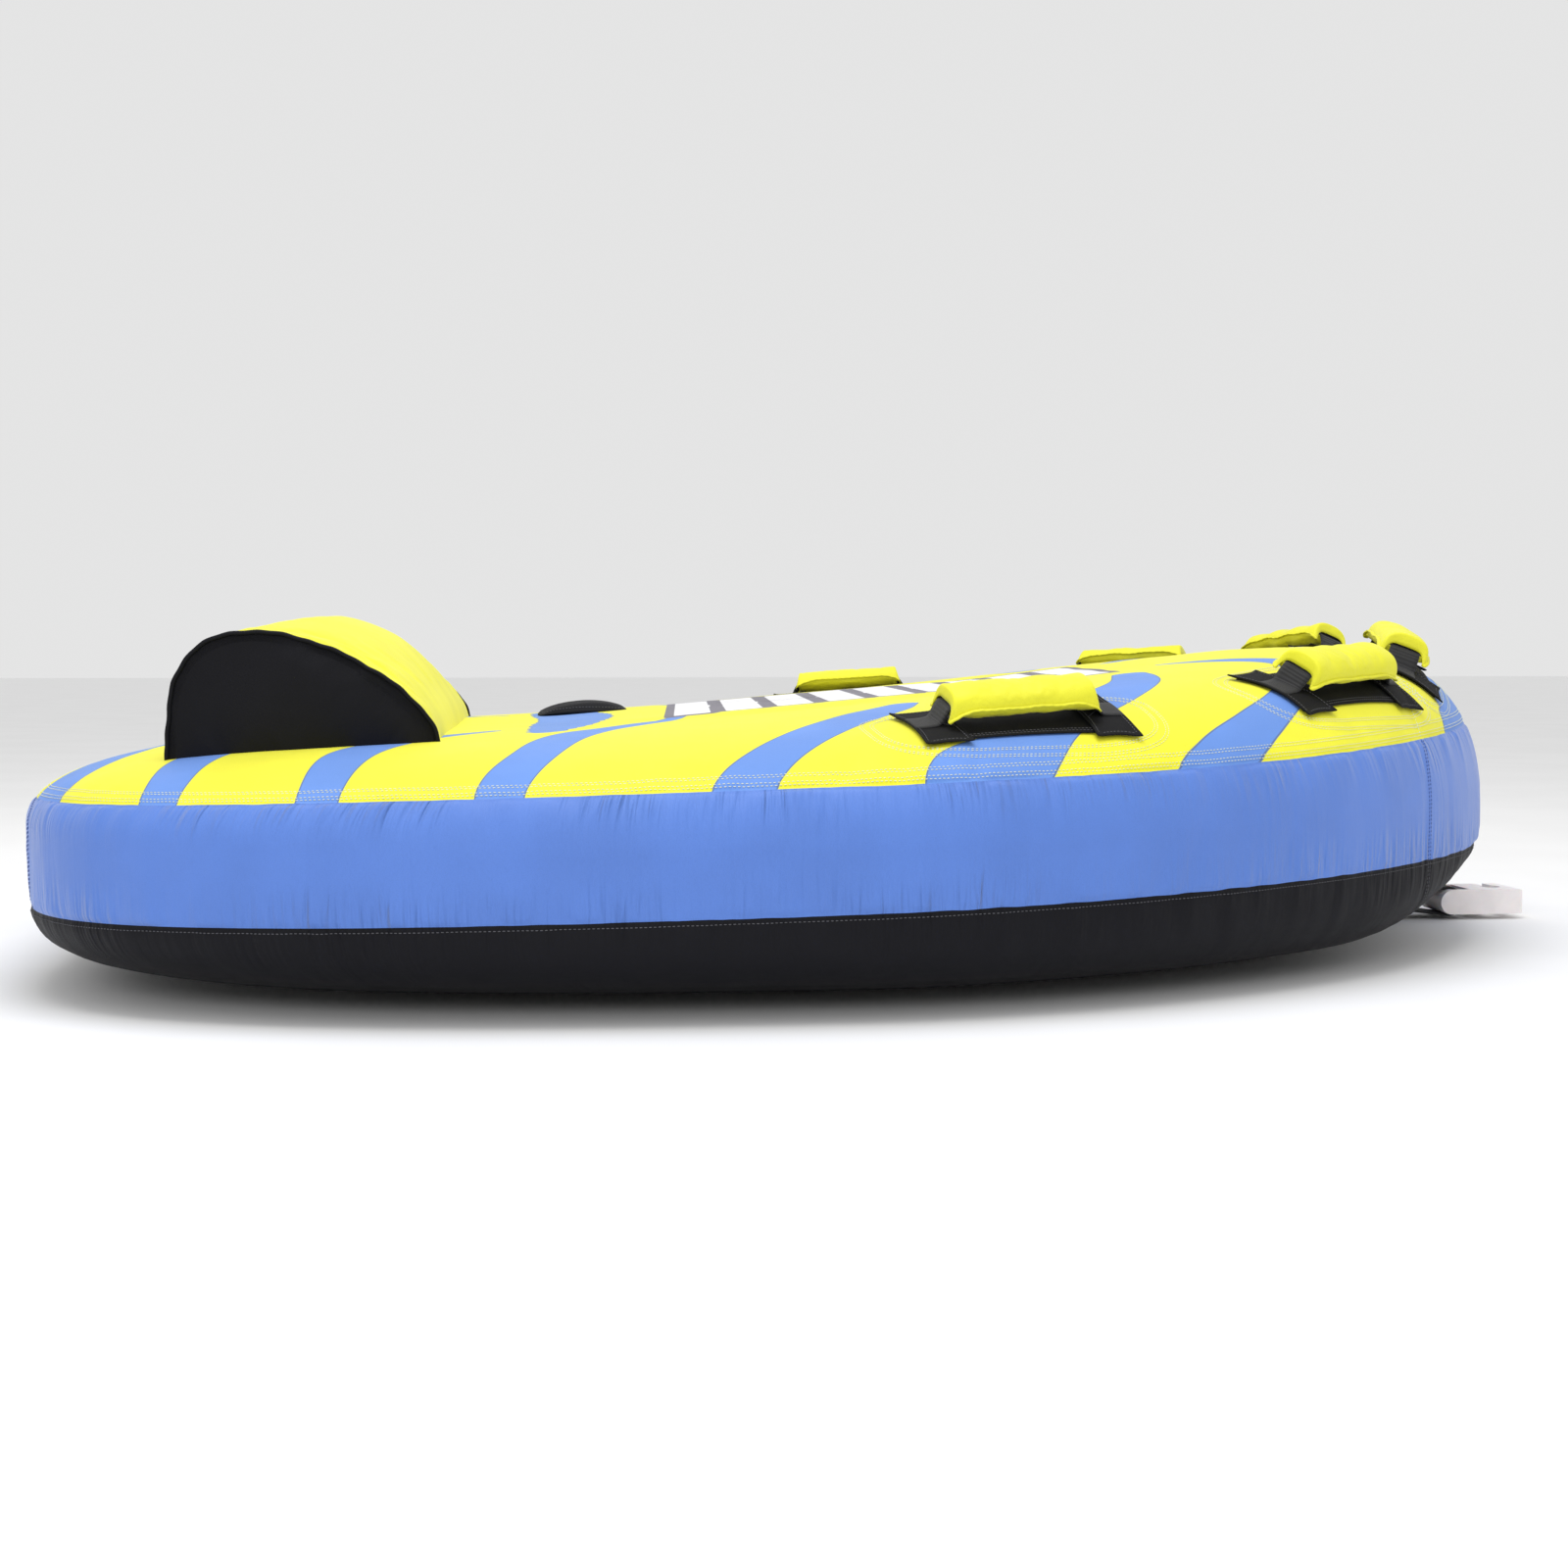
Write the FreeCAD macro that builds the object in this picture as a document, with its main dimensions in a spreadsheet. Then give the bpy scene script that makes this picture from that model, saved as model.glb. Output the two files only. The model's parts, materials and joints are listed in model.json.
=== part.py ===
import FreeCAD, Part
import math
import os

import Sketcher
from FreeCAD import Placement, Rotation, Vector

# Three-rider towable tube, in millimetres.
# Frame: +X towards the bow (tow point), +Y to the rider's left, +Z up.
# Origin: on the ground, at the centre of the whole object's box.

os.makedirs("parts", exist_ok=True)
doc = FreeCAD.newDocument("towable_tube")

# ---------------------------------------------------------------- driving dimensions

DIMENSIONS = [
    # whole object
    ("overall_length", 1935.0),
    ("hull_length", 1834.0),
    ("hull_width", 1428.0),
    ("widest_place", -62.5),
    # plan outline: powers of its rear and front halves, along X and along Y
    ("stern_power_long", 2.64),
    ("stern_power_wide", 4.74),
    ("bow_power_long", 1.685),
    ("bow_power_wide", 1.916),
    # side profile: height at the origin, slope, and bend per millimetre squared
    ("deck_height", 307.0),
    ("deck_slope", 0.093),
    ("deck_bend", 0.0000604),
    ("waist_height", 170.4),
    ("waist_slope", -0.0092),
    ("rocker_start", 509.0),
    ("rocker_bend", 0.00118),
    # roundness of the shoulder between deck and side, and of the bilge
    ("shoulder_spread", 7.0),
    ("shoulder_power", 2.375),
    ("bilge_spread", 2.675),
    ("bilge_power", 6.54),
    ("flat_share", 0.62),
    # seams of the cover
    ("top_seam_height", 239.0),
    ("top_seam_tilt", 1.64),
    ("bottom_seam_height", 112.2),
    ("bottom_seam_tilt", 1.21),
    ("bow_seam_place", 640.0),
    ("stern_seam_place", -930.0),
    # fabric and film
    ("cover_thick", 2.5),
    ("film_thick", 1.5),
    ("skin_gap", 0.5),
    ("patch_thick", 2.0),
    # handles
    ("guard_length", 155.0),
    ("guard_width", 60.0),
    ("guard_top_rise", 18.0),
    ("guard_under_rise", 7.0),
    ("guard_lift", 25.0),
    ("guard_skin", 1.5),
    ("strap_width", 38.0),
    ("strap_thick", 3.0),
    ("strap_length", 171.0),
    ("slot_clearance", 0.3),
    ("pad_length", 236.0),
    ("pad_width", 100.0),
    ("end_patch_length", 54.0),
    ("end_patch_width", 120.0),
    # backrest
    ("backrest_width", 886.0),
    ("backrest_crown", 18.0),
    ("panel_thick", 2.5),
    ("piping_radius", 3.0),
    ("rest_gap", 1.5),
    # tow connector and its webbing loop
    ("connector_length", 121.0),
    ("connector_width", 74.0),
    ("connector_thick", 34.0),
    ("connector_height", 24.0),
    ("web_slot_width", 54.0),
    ("web_slot_long", 12.0),
    ("rope_eye_radius", 13.0),
    ("rope_gate", 13.0),
    ("loop_width", 50.0),
    ("loop_thick", 3.0),
    ("loop_clearance", 0.6),
    ("loop_room", 2.2),
    ("tail_round", 7.0),
    # main valve under its flap
    ("valve_place", -331.0),
    ("valve_side", 230.0),
    ("valve_bore", 12.0),
    ("valve_neck", 16.0),
    ("valve_neck_height", 7.5),
    ("valve_flange", 24.0),
    ("valve_flange_thick", 2.5),
    ("valve_core_thick", 5.0),
    ("valve_core_wall", 4.0),
    ("valve_cap", 19.0),
    ("valve_cap_thick", 2.5),
    ("valve_cap_skirt", 4.0),
    ("valve_grip_long", 22.0),
    ("valve_grip_wide", 5.0),
    ("flap_length", 125.0),
    ("flap_width", 110.0),
    ("flap_rise", 14.0),
    ("flap_thick", 2.5),
    ("flap_lift", 4.6),
    # backrest valve
    ("port_bore", 5.0),
    ("port_neck", 9.0),
    ("port_length", 16.0),
    ("port_place", -779.0),
    ("port_height", 312.0),
    ("plug_thick", 3.0),
    ("plug_gap", 0.4),
    ("plug_tab_long", 7.0),
    ("plug_tab_wide", 8.0),
    # zip across the stern's underside
    ("zip_place", -905.0),
    ("zip_length", 520.0),
    ("zip_tape_width", 26.0),
    ("zip_teeth_width", 5.0),
    ("zip_closed_place", 232.0),
    ("slider_width", 12.0),
    ("slider_length", 24.0),
    ("slider_height", 5.0),
    ("slider_lift", 2.0),
    ("pull_width", 8.0),
    ("pull_length", 36.0),
    ("pull_thick", 1.8),
]

sheet = doc.addObject("Spreadsheet::Sheet", "Dimensions")
for row, (alias, value) in enumerate(DIMENSIONS, start=1):
    sheet.set(f"A{row}", alias)
    sheet.set(f"B{row}", str(value))
    sheet.setAlias(f"B{row}", alias)
doc.recompute()


def size(alias):
    """The sheet's value for an alias."""
    return float(sheet.get(alias))


stern_end = -size("overall_length") / 2
bow_end = stern_end + size("hull_length")
widest = size("widest_place")
half_width = size("hull_width") / 2

OUTLINE_POINTS = 44
LEVELS = 21
BOTTOM_CAP = 0.5
TOP_CAP = 0.35
CUT_SIZE = 2600.0
HOLE_DEPTH = 40.0
BELLY_DEPTH = 200.0


# ---------------------------------------------------------------- hull surface

def signed_power(value, power):
    return math.copysign(abs(value) ** power, value)


def outline_point(angle, grow):
    """A point of the plan outline at an angle, with the outline grown outwards."""
    cosine = math.cos(angle)
    sine = math.sin(angle)
    if cosine > 0:
        reach = bow_end + grow - widest
        power_long = size("bow_power_long")
        power_wide = size("bow_power_wide")
    else:
        reach = widest - stern_end + grow
        power_long = size("stern_power_long")
        power_wide = size("stern_power_wide")
    x = widest + reach * signed_power(cosine, 2 / power_long)
    y = (half_width + grow) * signed_power(sine, 2 / power_wide)
    return x, y


def outline(grow):
    """The plan outline as evenly spaced points, starting at the bow."""
    steps = 1440
    dense = [outline_point(2 * math.pi * i / steps, grow) for i in range(steps + 1)]
    run = [0.0]
    for a, b in zip(dense, dense[1:]):
        run.append(run[-1] + math.dist(a, b))
    points = []
    place = 0
    for i in range(OUTLINE_POINTS):
        wanted = run[-1] * i / OUTLINE_POINTS
        while run[place + 1] < wanted:
            place += 1
        share = (wanted - run[place]) / (run[place + 1] - run[place])
        a, b = dense[place], dense[place + 1]
        points.append((a[0] + share * (b[0] - a[0]), a[1] + share * (b[1] - a[1])))
    return points


def deck_line(x, grow=0.0):
    return size("deck_height") + size("deck_slope") * x + size("deck_bend") * x * x + grow


def waist_line(x):
    return size("waist_height") + size("waist_slope") * x


def keel_line(x, grow=0.0):
    past = max(0.0, x - size("rocker_start"))
    return size("rocker_bend") * past * past - grow


def shoulder(ring):
    """Height share of the deck at a ring, 1 in the middle and 0 at the waist."""
    return (1 - ring ** size("shoulder_spread")) ** (1 / size("shoulder_power"))


def bilge(ring):
    full = (1 - size("flat_share") ** size("bilge_spread")) ** (1 / size("bilge_power"))
    return (1 - ring ** size("bilge_spread")) ** (1 / size("bilge_power")) / full


def top_height(x, ring, grow=0.0):
    waist = waist_line(x)
    return waist + (deck_line(x, grow) - waist) * shoulder(ring)


def bottom_height(x, ring, grow=0.0):
    waist = waist_line(x)
    return waist - (waist - keel_line(x, grow)) * bilge(ring)


def flat_height(height_at, ring, ends):
    """A straight-line height through the two ends of a ring, so that its cap is a plane."""
    low, high = ends
    slope = (height_at(high, ring) - height_at(low, ring)) / (high - low)
    return lambda x: height_at(low, ring) + slope * (x - low)


def hull_levels():
    """Rings from the bottom's flat to the deck's middle, evenly spaced along the beam section."""
    steps = 3000
    track = []
    for i in range(steps + 1):
        ring = 1 - (1 - BOTTOM_CAP) * (1 - i / steps) ** 3
        track.append((ring, bottom_height))
    for i in range(1, steps + 1):
        ring = 1 - (1 - TOP_CAP) * (i / steps) ** 3
        track.append((ring, top_height))
    run = [0.0]
    for (ring_a, at_a), (ring_b, at_b) in zip(track, track[1:]):
        rise = at_b(widest, ring_b) - at_a(widest, ring_a)
        run.append(run[-1] + math.hypot(half_width * (ring_b - ring_a), rise))
    levels = []
    place = 0
    for i in range(LEVELS):
        wanted = run[-1] * i / (LEVELS - 1)
        while place + 1 < len(run) and run[place] < wanted - 1e-6:
            place += 1
        levels.append(track[place])
    return levels


def hull_form(grow):
    """The hull as one closed solid, grown outwards by a distance, flat where it stands."""
    plan = outline(grow)
    knots = [i / OUTLINE_POINTS for i in range(OUTLINE_POINTS + 1)]
    levels = hull_levels()
    wires = []
    for place, (ring, height_at) in enumerate(levels):
        if place in (0, len(levels) - 1):
            ends = (widest + ring * (stern_end - widest), widest + ring * (bow_end - widest))
            height = flat_height(lambda x, r: height_at(x, r, grow), ring, ends)
        else:
            height = lambda x: height_at(x, ring, grow)
        points = []
        for x, y in plan:
            level_x = widest + ring * (x - widest)
            points.append(Vector(level_x, ring * y, height(level_x)))
        curve = Part.BSplineCurve()
        curve.interpolate(Points=points, PeriodicFlag=True, Parameters=knots)
        wires.append(Part.Wire(curve.toShape()))
    solid = Part.makeLoft(wires, True, False)
    ground = Part.makeBox(CUT_SIZE, CUT_SIZE, CUT_SIZE, Vector(-CUT_SIZE / 2, -CUT_SIZE / 2, -grow))
    return solid.common(ground).Solids[0]


def ring_at(x, y):
    """The ring, 0 at the middle and 1 at the waist, that a plan point lies on."""
    wanted = math.atan2(abs(y), x - widest)
    low, high = 0.0, math.pi
    for _ in range(50):
        middle = (low + high) / 2
        px, py = outline_point(middle, 0.0)
        if math.atan2(py, px - widest) < wanted:
            low = middle
        else:
            high = middle
    px, py = outline_point((low + high) / 2, 0.0)
    return math.hypot(x - widest, y) / math.hypot(px - widest, py)


def deck_point(x, y):
    return Vector(x, y, top_height(x, ring_at(x, y)))


def deck_placement(x, y, turn):
    """A frame on the deck: its Z is the deck's normal, its X runs at an angle in plan."""
    step = 20.0
    along = deck_point(x + step, y) - deck_point(x - step, y)
    across = deck_point(x, y + step) - deck_point(x, y - step)
    normal = along.cross(across).normalize()
    heading = Vector(math.cos(math.radians(turn)), math.sin(math.radians(turn)), 0)
    side = normal.cross(heading).normalize()
    forward = side.cross(normal)
    return Placement(deck_point(x, y), Rotation(forward, side, normal, "ZXY"))


# ---------------------------------------------------------------- document helpers

def feature(label, shape, placement=None):
    """A plain feature for a free-form shape that no sketch describes."""
    item = doc.addObject("Part::Feature", label)
    item.Label = label
    item.Shape = shape
    if placement is not None:
        item.Placement = placement
    return item


def box(label, length, width, height, placement):
    """A block whose sides are numbers or expressions."""
    item = doc.addObject("Part::Box", label)
    for side, value in (("Length", length), ("Width", width), ("Height", height)):
        if isinstance(value, str):
            item.setExpression(side, value)
        else:
            setattr(item, side, value)
    item.Placement = placement
    return item


def cylinder(label, radius, height, placement):
    """A round bar whose radius is an expression and whose height is a number or expression."""
    item = doc.addObject("Part::Cylinder", label)
    item.setExpression("Radius", radius)
    if isinstance(height, str):
        item.setExpression("Height", height)
    else:
        item.Height = height
    item.Placement = placement
    return item


def common(label, base, tool):
    item = doc.addObject("Part::Common", label)
    item.Label = label
    item.Base = base
    item.Tool = tool
    return item


def cut(label, base, tool):
    item = doc.addObject("Part::Cut", label)
    item.Label = label
    item.Base = base
    item.Tool = tool
    return item


def fuse(label, base, tool):
    item = doc.addObject("Part::Fuse", label)
    item.Label = label
    item.Base = base
    item.Tool = tool
    return item


def new_body(label):
    body = doc.addObject("PartDesign::Body", label)
    body.Label = label
    return body


def sketch_on(body, role):
    plane = next(item for item in body.Origin.OriginFeatures if item.Role == role)
    sketch = body.newObject("Sketcher::SketchObject", body.Label + "_sketch")
    sketch.AttachmentSupport = [(plane, "")]
    sketch.MapMode = "FlatFace"
    return sketch


def bind(sketch, index, name, expression):
    sketch.renameConstraint(index, name)
    sketch.setExpression("Constraints." + name, expression)


def draw_rectangle(sketch, wide, high):
    """A rectangle with its centre on the sketch's origin; expressions give both sides."""
    wide_start, high_start = value_of(wide), value_of(high)
    x, y = wide_start / 2, high_start / 2
    corners = [Vector(-x, -y, 0), Vector(x, -y, 0), Vector(x, y, 0), Vector(-x, y, 0)]
    for i in range(4):
        sketch.addGeometry(Part.LineSegment(corners[i], corners[(i + 1) % 4]), False)
    for i in range(4):
        sketch.addConstraint(Sketcher.Constraint("Coincident", i, 2, (i + 1) % 4, 1))
    for i in (0, 2):
        sketch.addConstraint(Sketcher.Constraint("Horizontal", i))
    for i in (1, 3):
        sketch.addConstraint(Sketcher.Constraint("Vertical", i))
    sketch.addConstraint(Sketcher.Constraint("Symmetric", 0, 1, 1, 2, -1, 1))
    index = sketch.addConstraint(Sketcher.Constraint("DistanceX", 0, 1, 0, 2, wide_start))
    bind(sketch, index, "wide", wide)
    index = sketch.addConstraint(Sketcher.Constraint("DistanceY", 1, 1, 1, 2, high_start))
    bind(sketch, index, "high", high)


def draw_lens(sketch, chord, top_rise, under_rise):
    """Two arcs that meet at pointed edges; expressions give chord and rises."""
    values = [value_of(text) for text in (chord, top_rise, under_rise)]
    half = values[0] / 2
    for rise, sign in ((values[1], 1), (values[2], -1)):
        arc = Part.Arc(Vector(half, 0, 0), Vector(0, sign * rise, 0), Vector(-half, 0, 0))
        sketch.addGeometry(arc, False)
    # Both arcs run anticlockwise: the upper from right to left, the lower from left to right.
    sketch.addConstraint(Sketcher.Constraint("Coincident", 0, 2, 1, 1))
    sketch.addConstraint(Sketcher.Constraint("Coincident", 1, 2, 0, 1))
    sketch.addConstraint(Sketcher.Constraint("Symmetric", 0, 1, 0, 2, -1, 1))
    sketch.addConstraint(Sketcher.Constraint("PointOnObject", 0, 1, -1))
    index = sketch.addConstraint(Sketcher.Constraint("DistanceX", 0, 2, 0, 1, 2 * half))
    bind(sketch, index, "chord", chord)
    for geometry, rise_text, rise in ((0, top_rise, values[1]), (1, under_rise, values[2])):
        radius = (half * half + rise * rise) / (2 * rise)
        index = sketch.addConstraint(Sketcher.Constraint("Radius", geometry, radius))
        bind(sketch, index, f"radius{geometry}",
             f"(({chord})^2/4 + ({rise_text})^2) / (2*({rise_text}))")


def value_of(expression):
    """The present value of an expression that uses the sheet's aliases."""
    return float(doc.Dimensions.evalExpression(expression.replace("Dimensions.", "")))


def pad(body, sketch, length, symmetric=True):
    item = body.newObject("PartDesign::Pad", body.Label + "_pad")
    item.Profile = sketch
    item.setExpression("Length", length)
    if symmetric:
        item.SideType = "Symmetric"
    sketch.Visibility = False
    body.Tip = item
    return item


def pocket_through(body, sketch):
    item = body.newObject("PartDesign::Pocket", body.Label + "_pocket")
    item.Profile = sketch
    item.Type = "ThroughAll"
    item.SideType = "Symmetric"
    body.Tip = item
    return item


# ---------------------------------------------------------------- hull: bladder and cover

skin = size("cover_thick")
film = size("film_thick")
gap = size("skin_gap")

hull_outside = feature("hull_outside", hull_form(0.0))
cover_inside = feature("cover_inside", hull_form(-skin))
bladder_outside = feature("bladder_outside", hull_form(-skin - gap))
bladder_inside = feature("bladder_inside", hull_form(-skin - gap - film))
cover_shell = cut("cover_shell", hull_outside, cover_inside)


def tilted_block(label, seam, length, width, height, corner):
    """A block whose lower or upper face is a seam plane that tilts along X."""
    turn = Rotation(Vector(0, 1, 0), -size(seam + "_tilt"))
    start = Vector(0, 0, size(seam + "_height"))
    return box(label, length, width, height, Placement(start + turn.multVec(corner), turn))


half = CUT_SIZE / 2
bow_seam = size("bow_seam_place")
stern_seam = size("stern_seam_place")
above = tilted_block("above_top_seam", "top_seam", CUT_SIZE, CUT_SIZE, half, Vector(-half, -half, 0))
under = tilted_block("under_bottom_seam", "bottom_seam", CUT_SIZE, CUT_SIZE, half,
                     Vector(-half, -half, -half))


def upright_block(label, x_from, x_to, y_from, y_to):
    corner = Vector(x_from, y_from, -half)
    return box(label, x_to - x_from, y_to - y_from, CUT_SIZE, Placement(corner, Rotation()))


ahead = upright_block("ahead_of_bow_seam", bow_seam, half, -half, half)
behind = upright_block("behind_stern_seam", -half, stern_seam, -half, half)
left_side = upright_block("left_of_middle", stern_seam, bow_seam, 0, half)
right_side = upright_block("right_of_middle", stern_seam, bow_seam, -half, 0)

deck_skin = common("deck_skin", cover_shell, above)
belly_skin = common("belly_skin", cover_shell, under)
band_and_belly = cut("band_and_belly", cover_shell, above)
band_skin = cut("band_skin", band_and_belly, under)

# Openings through the cover and the bladder for the main valve.
valve_frame = deck_placement(size("valve_place"), size("valve_side"), 0)
through_hull = valve_frame.multiply(Placement(Vector(0, 0, -HOLE_DEPTH / 2), Rotation()))
cover_hole = cylinder("cover_hole", "Dimensions.valve_flange + 2", HOLE_DEPTH, through_hull)
film_hole = cylinder("film_hole", "Dimensions.valve_flange + 0.3", HOLE_DEPTH, through_hull)

main_deck = cut("main_deck", deck_skin, ahead)
top_cover = cut("top_cover", main_deck, cover_hole)
nose_cover = common("nose_cover", deck_skin, ahead)
side_band_left = common("side_band_left", band_skin, left_side)
side_band_right = common("side_band_right", band_skin, right_side)
bow_band = common("bow_band", band_skin, ahead)
stern_band = common("stern_band", band_skin, behind)

film_shell = cut("film_shell", bladder_outside, bladder_inside)
main_bladder = cut("main_bladder", film_shell, film_hole)

# Slit across the stern's underside where the bladder goes in, filled by the zip.
zip_half = size("zip_length") / 2
zip_x = size("zip_place")
zip_wide = size("zip_tape_width")
zip_slit = box("zip_slit", "Dimensions.zip_tape_width", "Dimensions.zip_length", BELLY_DEPTH,
               Placement(Vector(zip_x - zip_wide / 2, -zip_half, -BELLY_DEPTH / 2), Rotation()))
belly_open = cut("belly_open", belly_skin, zip_slit)
bottom_cover = cut("bottom_cover", belly_open, ahead)
nose_bottom_cover = common("nose_bottom_cover", belly_open, ahead)
zip_strip = common("zip_strip", belly_skin, zip_slit)
doc.recompute()


# ---------------------------------------------------------------- handles

# Each pair of handles: place along X, distance from the centre line, turn in plan.
HANDLE_PAIRS = [
    ("mid", 111.0, 576.0, -9.6),
    ("front", 535.0, 396.0, -35.0),
    ("bow", 706.0, 172.0, -75.0),
]
PATCH_DEPTH = 60.0

base_layer = feature("base_layer", hull_form(gap + skin).cut(hull_form(gap)))
patch_floor = feature("patch_floor", hull_form(2 * gap + skin))
patch_layer = feature("patch_layer",
                      hull_form(2 * gap + skin + size("patch_thick")).cut(patch_floor.Shape))


def cloth_patch(label, layer, frame, length, width, centres=(0.0,)):
    """Flat cloth that follows the hull: a layer of the hull's own form, cut to rectangles."""
    blocks = None
    for number, centre in enumerate(centres):
        start = Vector(centre - length / 2, -width / 2, -PATCH_DEPTH)
        block = Part.makeBox(length, width, 2 * PATCH_DEPTH, start)
        blocks = block if blocks is None else blocks.fuse(block)
    blocks.Placement = frame
    solids = layer.Shape.common(blocks).Solids
    return feature(label, Part.makeCompound(solids) if len(solids) > 1 else solids[0])


def guard_height():
    """Height of the guard's seam line above the deck."""
    return size("guard_lift")


def lens_body(label, length, inset, frame):
    """A padded guard or its foam: a lens section that runs along the handle."""
    body = new_body(label)
    sketch = sketch_on(body, "YZ_Plane")
    draw_lens(sketch, f"Dimensions.guard_width - {inset * 3}",
              f"Dimensions.guard_top_rise - {inset}", f"Dimensions.guard_under_rise - {inset}")
    pad(body, sketch, length)
    body.Placement = frame
    return body


def handle_parts(name, frame):
    """The three sewn or threaded pieces that roll together on one handle."""
    lifted = frame.multiply(Placement(Vector(0, 0, guard_height()), Rotation()))
    outer = lens_body(f"guard_{name}_outer", "Dimensions.guard_length", 0.0, lifted)
    hollow = lens_body(f"guard_{name}_hollow", "Dimensions.guard_length + 10",
                       size("guard_skin"), lifted)
    cover = cut(f"knuckle_guard_{name}", outer, hollow)
    filling = lens_body(f"guard_{name}_filling", "Dimensions.guard_length - 6",
                        size("guard_skin") + size("slot_clearance"), lifted)
    strap = new_body(f"grip_webbing_{name}")
    sketch = sketch_on(strap, "YZ_Plane")
    draw_rectangle(sketch, "Dimensions.strap_width", "Dimensions.strap_thick")
    pad(strap, sketch, "Dimensions.strap_length")
    strap.Placement = lifted
    slot = new_body(f"guard_{name}_slot")
    sketch = sketch_on(slot, "YZ_Plane")
    draw_rectangle(sketch, "Dimensions.strap_width + 2 * Dimensions.slot_clearance",
                   "Dimensions.strap_thick + 2 * Dimensions.slot_clearance")
    pad(slot, sketch, "Dimensions.strap_length + 20")
    slot.Placement = lifted
    foam = cut(f"guard_foam_{name}", filling, slot)
    return [cover, foam, strap]


parts = [main_bladder, top_cover, nose_cover, side_band_left, side_band_right, bow_band,
         stern_band, bottom_cover, nose_bottom_cover]

handle_frames = {}
for pair, place, out, turn in HANDLE_PAIRS:
    for hand, sign in (("left", 1), ("right", -1)):
        name = f"{pair}_{hand}"
        frame = deck_placement(place, sign * out, sign * turn)
        handle_frames[name] = frame
        base = cloth_patch(f"handle_base_{name}", base_layer, frame, size("pad_length"),
                           size("pad_width"))
        reach = (size("pad_length") - size("end_patch_length")) / 2
        ends = cloth_patch(f"handle_end_patches_{name}", patch_layer, frame,
                           size("end_patch_length"), size("end_patch_width"), (-reach, reach))
        parts += [base, ends]
        parts += handle_parts(name, frame)


# ---------------------------------------------------------------- backrest

def backrest_profile(inset):
    """Side profile points, from the rear foot over the crest to the front foot."""
    rear, front = -790.0, -494.0
    foot = 150.0
    shape = [
        (rear, foot), (rear + 3, 250.0), (rear + 5, 300.0), (rear + 13, 340.0),
        (rear + 34, 372.0), (rear + 72, 389.0), (rear + 118, 389.0), (rear + 170, 375.0),
        (rear + 222, 349.0), (rear + 262, 318.0), (rear + 287, 283.0), (front, 225.0),
        (front, foot),
    ]
    points = []
    for i, (x, z) in enumerate(shape):
        before = shape[max(i - 1, 0)]
        after = shape[min(i + 1, len(shape) - 1)]
        along = Vector(after[0] - before[0], 0, after[1] - before[1]).normalize()
        inward = Vector(along.z, 0, -along.x)
        points.append(Vector(x, 0, z) + inward * inset)
    return points


CROWN_START = 250.0
CROWN_HEIGHT = 140.0


def backrest_form(inset, side_inset):
    """The stuffed backrest: its profile swells towards the middle of its width."""
    half_span = size("backrest_width") / 2 - side_inset
    wires = []
    for share in (-1.0, -0.62, 0.0, 0.62, 1.0):
        swell = 1 - share * share
        moved = []
        for point in backrest_profile(inset):
            lift = max(0.0, point.z - CROWN_START) / CROWN_HEIGHT
            crown = size("backrest_crown") * swell * lift
            moved.append(Vector(point.x + crown, share * half_span, point.z + crown))
        curve = Part.BSplineCurve()
        curve.interpolate(moved)
        base = Part.LineSegment(moved[-1], moved[0])
        wires.append(Part.Wire([curve.toShape(), base.toShape()]))
    return Part.makeLoft(wires, True, False)


deck_clearance = feature("deck_clearance", hull_form(gap))
wrap_outside = feature("wrap_outside", backrest_form(0.0, size("panel_thick") + gap))
wrap_inside = feature("wrap_inside", backrest_form(skin, -20.0))
wrap_tube = cut("wrap_tube", wrap_outside, wrap_inside)
wrap_trimmed = cut("wrap_trimmed", wrap_tube, deck_clearance)
rest_inset = skin + size("rest_gap")
rest_end = size("panel_thick") + gap + size("rest_gap")
rest_film_outside = feature("rest_film_outside", backrest_form(rest_inset, rest_end))
rest_film_inside = feature("rest_film_inside", backrest_form(rest_inset + film, rest_end + film))
rest_floor = feature("rest_floor", hull_form(gap + film))
film_air = cut("film_air", rest_film_inside, rest_floor)
film_body = cut("film_body", rest_film_outside, deck_clearance)
rest_film = cut("rest_film", film_body, film_air)

# The port's own frame looks straight back, out of the backrest's rear face.
port_frame = Placement(Vector(size("port_place"), 0, size("port_height")),
                       Rotation(Vector(0, 1, 0), -90))


def on_port(height):
    return port_frame.multiply(Placement(Vector(0, 0, height), Rotation()))


port_hole = cylinder("port_hole", "Dimensions.port_neck + 0.5", HOLE_DEPTH, on_port(-HOLE_DEPTH / 2))
port_film_hole = cylinder("port_film_hole", "Dimensions.port_neck + 0.2", HOLE_DEPTH,
                          on_port(-HOLE_DEPTH / 2))
backrest_wrap = cut("backrest_wrap", wrap_trimmed, port_hole)
backrest_bladder = cut("backrest_bladder", rest_film, port_film_hole)


def end_panel(label, side):
    """Flat black end of the backrest: the profile as a sketch, padded by one cloth."""
    body = new_body(label)
    sketch = sketch_on(body, "XZ_Plane")
    flat = [Vector(point.x, point.z, 0) for point in backrest_profile(0.0)]
    spline = Part.BSplineCurve()
    spline.interpolate(flat)
    sketch.addGeometry(spline, False)
    sketch.addGeometry(Part.LineSegment(flat[-1], flat[0]), False)
    pad(body, sketch, "Dimensions.panel_thick", False)
    outer = side * size("backrest_width") / 2
    body.Placement = Placement(Vector(0, outer if side > 0 else outer + size("panel_thick"), 0),
                               Rotation())
    return cut("backrest_end_panel_" + label.split("_")[-1], body, deck_clearance)


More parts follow.
